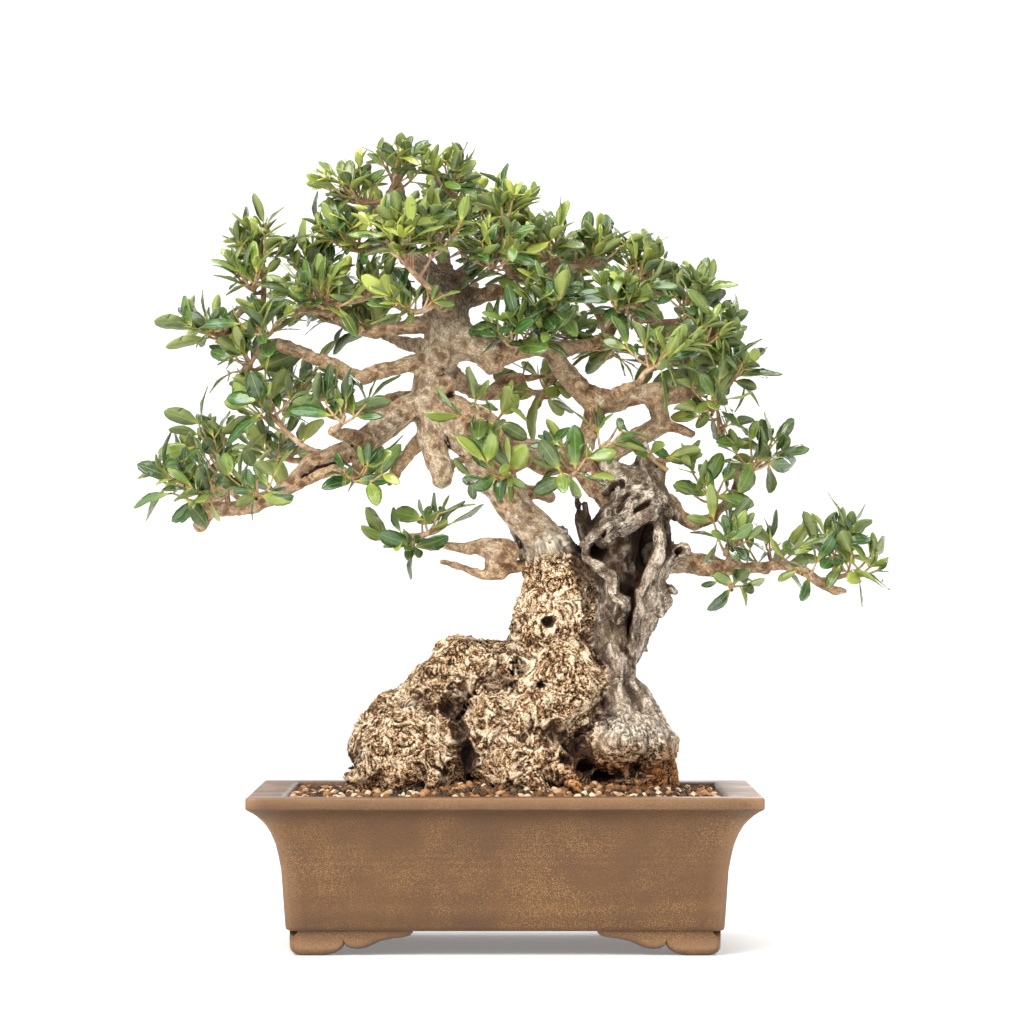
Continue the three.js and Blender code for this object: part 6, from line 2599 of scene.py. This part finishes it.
@dataclass
class Soil:
    """The planting mix: dark grit under loose grains of pumice and fired clay."""

    half_width: float = 129.4
    half_depth: float = 93.4
    corner: float = 9.0
    edge: float = 88.0
    mound: float = 11.0
    reach: float = 120.0
    middle_x: float = 5.0
    floor: float = 24.3
    columns: int = 150
    rows: int = 110
    grains: int = 3300
    smallest: float = 0.8
    largest: float = 2.9
    sunk: float = 0.35
    crowding: float = 0.72  # least distance between two grains, as a share of their sizes
    wall_gap: float = 0.2
    taper: float = 0.925  # the slab's floor beside its top
    noise: Noise = field(default_factory=lambda: Noise(SEED + 1))

    def height(self, x: Array, y: Array) -> Array:
        """Height of the mix at each place."""
        away = np.hypot(x - self.middle_x, y * 1.3) / self.reach
        return self.edge + self.mound * np.clip(1 - away * away, 0, None)

    def inside(self, x: Array, y: Array) -> Array:
        """Distance in from the wall at each place.

        Args:
            x: Places across.
            y: Places along the depth.

        Returns:
            A distance for each.
        """
        dx = np.abs(x) - (self.half_width - self.corner)
        dy = np.abs(y) - (self.half_depth - self.corner)
        away = np.hypot(np.maximum(dx, 0), np.maximum(dy, 0)) + np.minimum(np.maximum(dx, dy), 0)
        return self.corner - away

    def bed(self, place: Place, grit: bpy.types.Material) -> bpy.types.Object:
        """The grit, as one closed slab with an uneven top.

        Args:
            place: Where the pot stands.
            grit: Its material.

        Returns:
            The slab.
        """
        u, v = np.meshgrid(np.linspace(-1, 1, self.columns), np.linspace(-1, 1, self.rows),
                           indexing="ij")
        x, y = self.round_in(u.ravel(), v.ravel())
        flat = np.stack([x, y, np.zeros_like(x)], 1)
        z = self.height(x, y) + self.noise.layers(flat, 5.0, 3) * 1.3 - 0.6
        z -= smooth_step(7, 0, self.inside(x, y)) * 1.2
        top = np.stack([x, y, z], 1)
        low = top.copy()
        low[:, 2] = self.floor
        low[:, :2] *= self.taper
        count = len(top)
        quads = skin_faces(self.columns, self.rows, closed=False)[:, ::-1]
        grid = np.arange(count).reshape(self.columns, self.rows)
        loop = np.concatenate([grid[:, 0], grid[-1, 1:], grid[-2::-1, -1], grid[0, -2:0:-1]])
        after = np.roll(loop, -1)
        side = np.stack([loop, loop + count, after + count, after], 1)
        faces = np.vstack([quads[:, ::-1], quads + count, side[:, ::-1]])
        made = make_mesh("soil_bed", place.metres(np.vstack([top, low])), faces, [grit])
        mix = self.noise.at(flat * 1.7, 1.5) * 0.5 + self.noise.at(flat, 9.0) * 0.3
        tone = np.clip(0.16 + 0.3 * mix, 0, 1)
        set_values(made, "tone", np.concatenate([tone, tone]))
        return hand_in(made, "soil", "soil")

    def round_in(self, u: Array, v: Array) -> tuple[Array, Array]:
        """Places of a square's points in the wall's rounded rectangle.

        Args:
            u: Places across, from -1 to 1.
            v: Places along the depth, from -1 to 1.

        Returns:
            The places, in millimetres.
        """
        x, y = u * self.half_width, v * self.half_depth
        over = np.maximum(-self.inside(x, y), 0)
        way = np.hypot(x, y) + 1e-6
        return x * (1 - over / way), y * (1 - over / way)

    def loose(self, place: Place, wood: Wood, grit: bpy.types.Material) -> bpy.types.Object:
        """The loose grains on top.

        Args:
            place: Where the pot stands.
            wood: The wood, which they keep off.
            grit: Their material.

        Returns:
            The grains, in one mesh.
        """
        rng = np.random.default_rng(SEED + 2)
        centres, sizes = self.scatter(rng)
        gap = wood.distance(centres)
        keep = gap > sizes * 0.4
        centres, sizes = centres[keep], sizes[keep]
        form, quads = self.grain_form()
        count = len(centres)
        stretch = rng.uniform(0.72, 1.15, (count, 1, 3)) * sizes[:, None, None]
        turn = np.array([self.turned(rng) for _ in range(count)])
        lumps = 1 + rng.uniform(-0.16, 0.16, (count, len(form), 1))
        points = np.einsum("nij,nkj->nki", turn, form[None] * stretch * lumps)
        points = points + centres[:, None]
        inner = self.inside(points[..., 0], points[..., 1]).min(1)
        points = points[inner > self.wall_gap]
        count = len(points)
        faces = (quads[None] + (np.arange(count) * len(form))[:, None, None]).reshape(-1, 4)
        made = make_mesh("soil_grains", place.metres(points.reshape(-1, 3)), faces, [grit])
        kind = rng.random(count)
        tone = np.select(
            [kind < 0.17, kind < 0.36, kind < 0.62],
            [rng.uniform(0.76, 1.0, count), rng.uniform(0.5, 0.72, count),
             rng.uniform(0.22, 0.42, count)],
            rng.uniform(0.0, 0.16, count),
        )
        set_values(made, "tone", np.repeat(tone, len(form)))
        return hand_in(made, "soil", "soil")

    def scatter(self, rng: np.random.Generator) -> tuple[Array, Array]:
        """Middles and sizes of the grains, none far inside another.

        Args:
            rng: Random numbers.

        Returns:
            The middles and the sizes.
        """
        size = rng.uniform(0, 1, self.grains * 6) ** 2.2
        size = self.smallest + (self.largest - self.smallest) * np.sort(size)[::-1]
        x = rng.uniform(-self.half_width, self.half_width, len(size))
        y = rng.uniform(-self.half_depth, self.half_depth, len(size))
        cell = 2 * self.largest
        taken: dict[tuple[int, int], list[int]] = {}
        kept: list[int] = []
        for i in range(len(size)):
            if self.inside(x[i], y[i]) < size[i] * 0.9 or len(kept) >= self.grains:
                continue
            at = (int(x[i] // cell), int(y[i] // cell))
            near = [k for a in (-1, 0, 1) for b in (-1, 0, 1)
                    for k in taken.get((at[0] + a, at[1] + b), [])]
            if any(math.hypot(x[i] - x[k], y[i] - y[k]) < self.crowding * (size[i] + size[k])
                   for k in near):
                continue
            taken.setdefault(at, []).append(i)
            kept.append(i)
        x, y, size = x[kept], y[kept], size[kept]
        z = self.height(x, y) + size * self.sunk
        return np.stack([x, y, z], 1), size

    @staticmethod
    def grain_form() -> tuple[Array, Array]:
        """A ball of 26 points and 24 faces, its corners a little drawn out.

        Returns:
            Its points and its faces.
        """
        cells = [c for c in np.ndindex(3, 3, 3) if c != (1, 1, 1)]
        index = {c: i for i, c in enumerate(cells)}
        points = np.array(cells, float) - 1
        points = unit(points) * (1 + 0.08 * (np.abs(points).sum(1, keepdims=True) - 2))
        quads = []
        for axis in range(3):
            b, c = (axis + 1) % 3, (axis + 2) % 3
            for level in (0, 2):
                for i, j in np.ndindex(2, 2):
                    quad = []
                    for di, dj in ((0, 0), (1, 0), (1, 1), (0, 1)):
                        cell = [0, 0, 0]
                        cell[axis], cell[b], cell[c] = level, i + di, j + dj
                        quad.append(index[tuple(cell)])
                    quads.append(quad if level else quad[::-1])
        return points, np.array(quads)

    @staticmethod
    def turned(rng: np.random.Generator) -> Array:
        """A random turn, as a matrix."""
        made, _ = np.linalg.qr(rng.normal(0, 1, (3, 3)))
        return made * np.sign(np.linalg.det(made))


# ---- the studio


@dataclass(frozen=True)
class SoftLight:
    """A soft square light: where it hangs, what it aims at, its side and its power."""

    name: str
    where: Point3
    aim: Point3
    side: float
    watts: float
    tint: tuple[float, float, float] = (1.0, 1.0, 1.0)


@dataclass
class Studio:
    """The pale sweep, which glows as painted light behind the tree, the soft lights and the camera.
    """

    lights: tuple[SoftLight, ...] = (
        SoftLight("key", (-0.9, -1.5, 1.7), (0, 0, 0.25), 1.6, 66, (1.0, 0.98, 0.95)),
        SoftLight("fill", (1.7, -1.4, 0.8), (0, 0, 0.25), 1.6, 12, (0.96, 0.98, 1.0)),
        SoftLight("top", (0.1, 0.2, 2.0), (0, 0, 0.2), 1.3, 20),
        SoftLight("rim", (0.6, 1.7, 1.1), (0, 0, 0.3), 1.0, 12),
    )
    world: float = 0.54
    front: float = -4.6
    back: float = 6.6
    half_width: float = 6.0
    curve: float = 1.2
    curve_steps: int = 24
    wall: float = 3.2
    glow: tuple[float, float] = (0.6, 2.6)  # where the sweep begins to glow, and glows fully
    camera_at: Point3 = (4.0, -3000.0, 232.0)
    pitch: float = 90.516
    lens: float = 175.8
    sensor: float = 36.0
    clip: tuple[float, float] = (0.1, 50.0)

    def build(self, place: Place, pale: bpy.types.Material) -> None:
        """Makes the sweep, the lights and the camera.

        Args:
            place: Where the pot stands.
            pale: The sweep's material.
        """
        self.sweep(pale)
        for light in self.lights:
            data = bpy.data.lights.new(light.name, "AREA")
            data.shape, data.size, data.energy = "SQUARE", light.side, light.watts
            data.color = light.tint
            lamp = bpy.data.objects.new(light.name, data)
            lamp.location = light.where
            way = Vector(light.aim) - Vector(light.where)
            lamp.rotation_euler = way.to_track_quat("-Z", "Y").to_euler()
            bpy.context.scene.collection.objects.link(lamp)
        world = bpy.data.worlds.new("studio_air")
        world.use_nodes = True
        air = world.node_tree.nodes["Background"]
        air.inputs["Color"].default_value = (1, 1, 1, 1)
        air.inputs["Strength"].default_value = self.world
        bpy.context.scene.world = world
        bpy.context.scene.view_settings.view_transform = "Standard"
        self.camera(place)

    def sweep(self, pale: bpy.types.Material) -> None:
        """The floor, which curves up into a wall behind and glows there as painted light.

        Args:
            pale: Its material.
        """
        angles = np.linspace(0, math.pi / 2, self.curve_steps)
        y = np.concatenate([[self.front], self.back + self.curve * np.sin(angles)])
        z = np.concatenate([[0], self.curve * (1 - np.cos(angles))])
        y, z = np.append(y, y[-1]), np.append(z, self.wall)
        left = np.stack([np.full(len(y), -self.half_width), y, z], 1)
        right = left * [-1, 1, 1]
        points = np.stack([left, right], 1).reshape(-1, 3)
        made = make_mesh("studio_sweep", points, skin_faces(len(y), 2, closed=False), [pale])
        # The sweep's own glow, painted light that grows towards the wall.
        set_values(made, "glow", np.repeat(smooth_step(*self.glow, y), 2))

    def camera(self, place: Place) -> None:
        """The camera, level with the tree's middle, on its front.

        Args:
            place: Where the pot stands.
        """
        data = bpy.data.cameras.new("front_camera")
        data.lens, data.sensor_width = self.lens, self.sensor
        data.clip_start, data.clip_end = self.clip
        made = bpy.data.objects.new("front_camera", data)
        made.location = place.metres(self.camera_at)
        made.rotation_euler = (math.radians(self.pitch), 0, 0)
        bpy.context.scene.collection.objects.link(made)
        bpy.context.scene.camera = made


# ---- the whole


def main() -> None:
    """Builds the tree, its pot and the studio."""
    logging.basicConfig(level=logging.INFO, format="%(name)s: %(message)s")
    place = Place()
    bark, limb_bark = RoughBarkFinish().material(), SmoothBarkFinish().material()
    leaves = [LEAF_TOP.material(), LEAF_UNDER.material(), TwigFinish().material()]
    grit = GrainFinish().material()
    Pot().build(place, ClayFinish().material())
    DrainScreens().build(place, MeshFinish().material())
    wood = Wood()
    wood.build_base(place, bark)
    wood.build_limbs(place, limb_bark)
    Foliage(place, wood, leaves).build()
    soil = Soil()
    soil.bed(place, grit)
    soil.loose(place, wood, grit)
    Studio().build(place, FloorFinish().material())


if __name__ == "__main__":
    main()
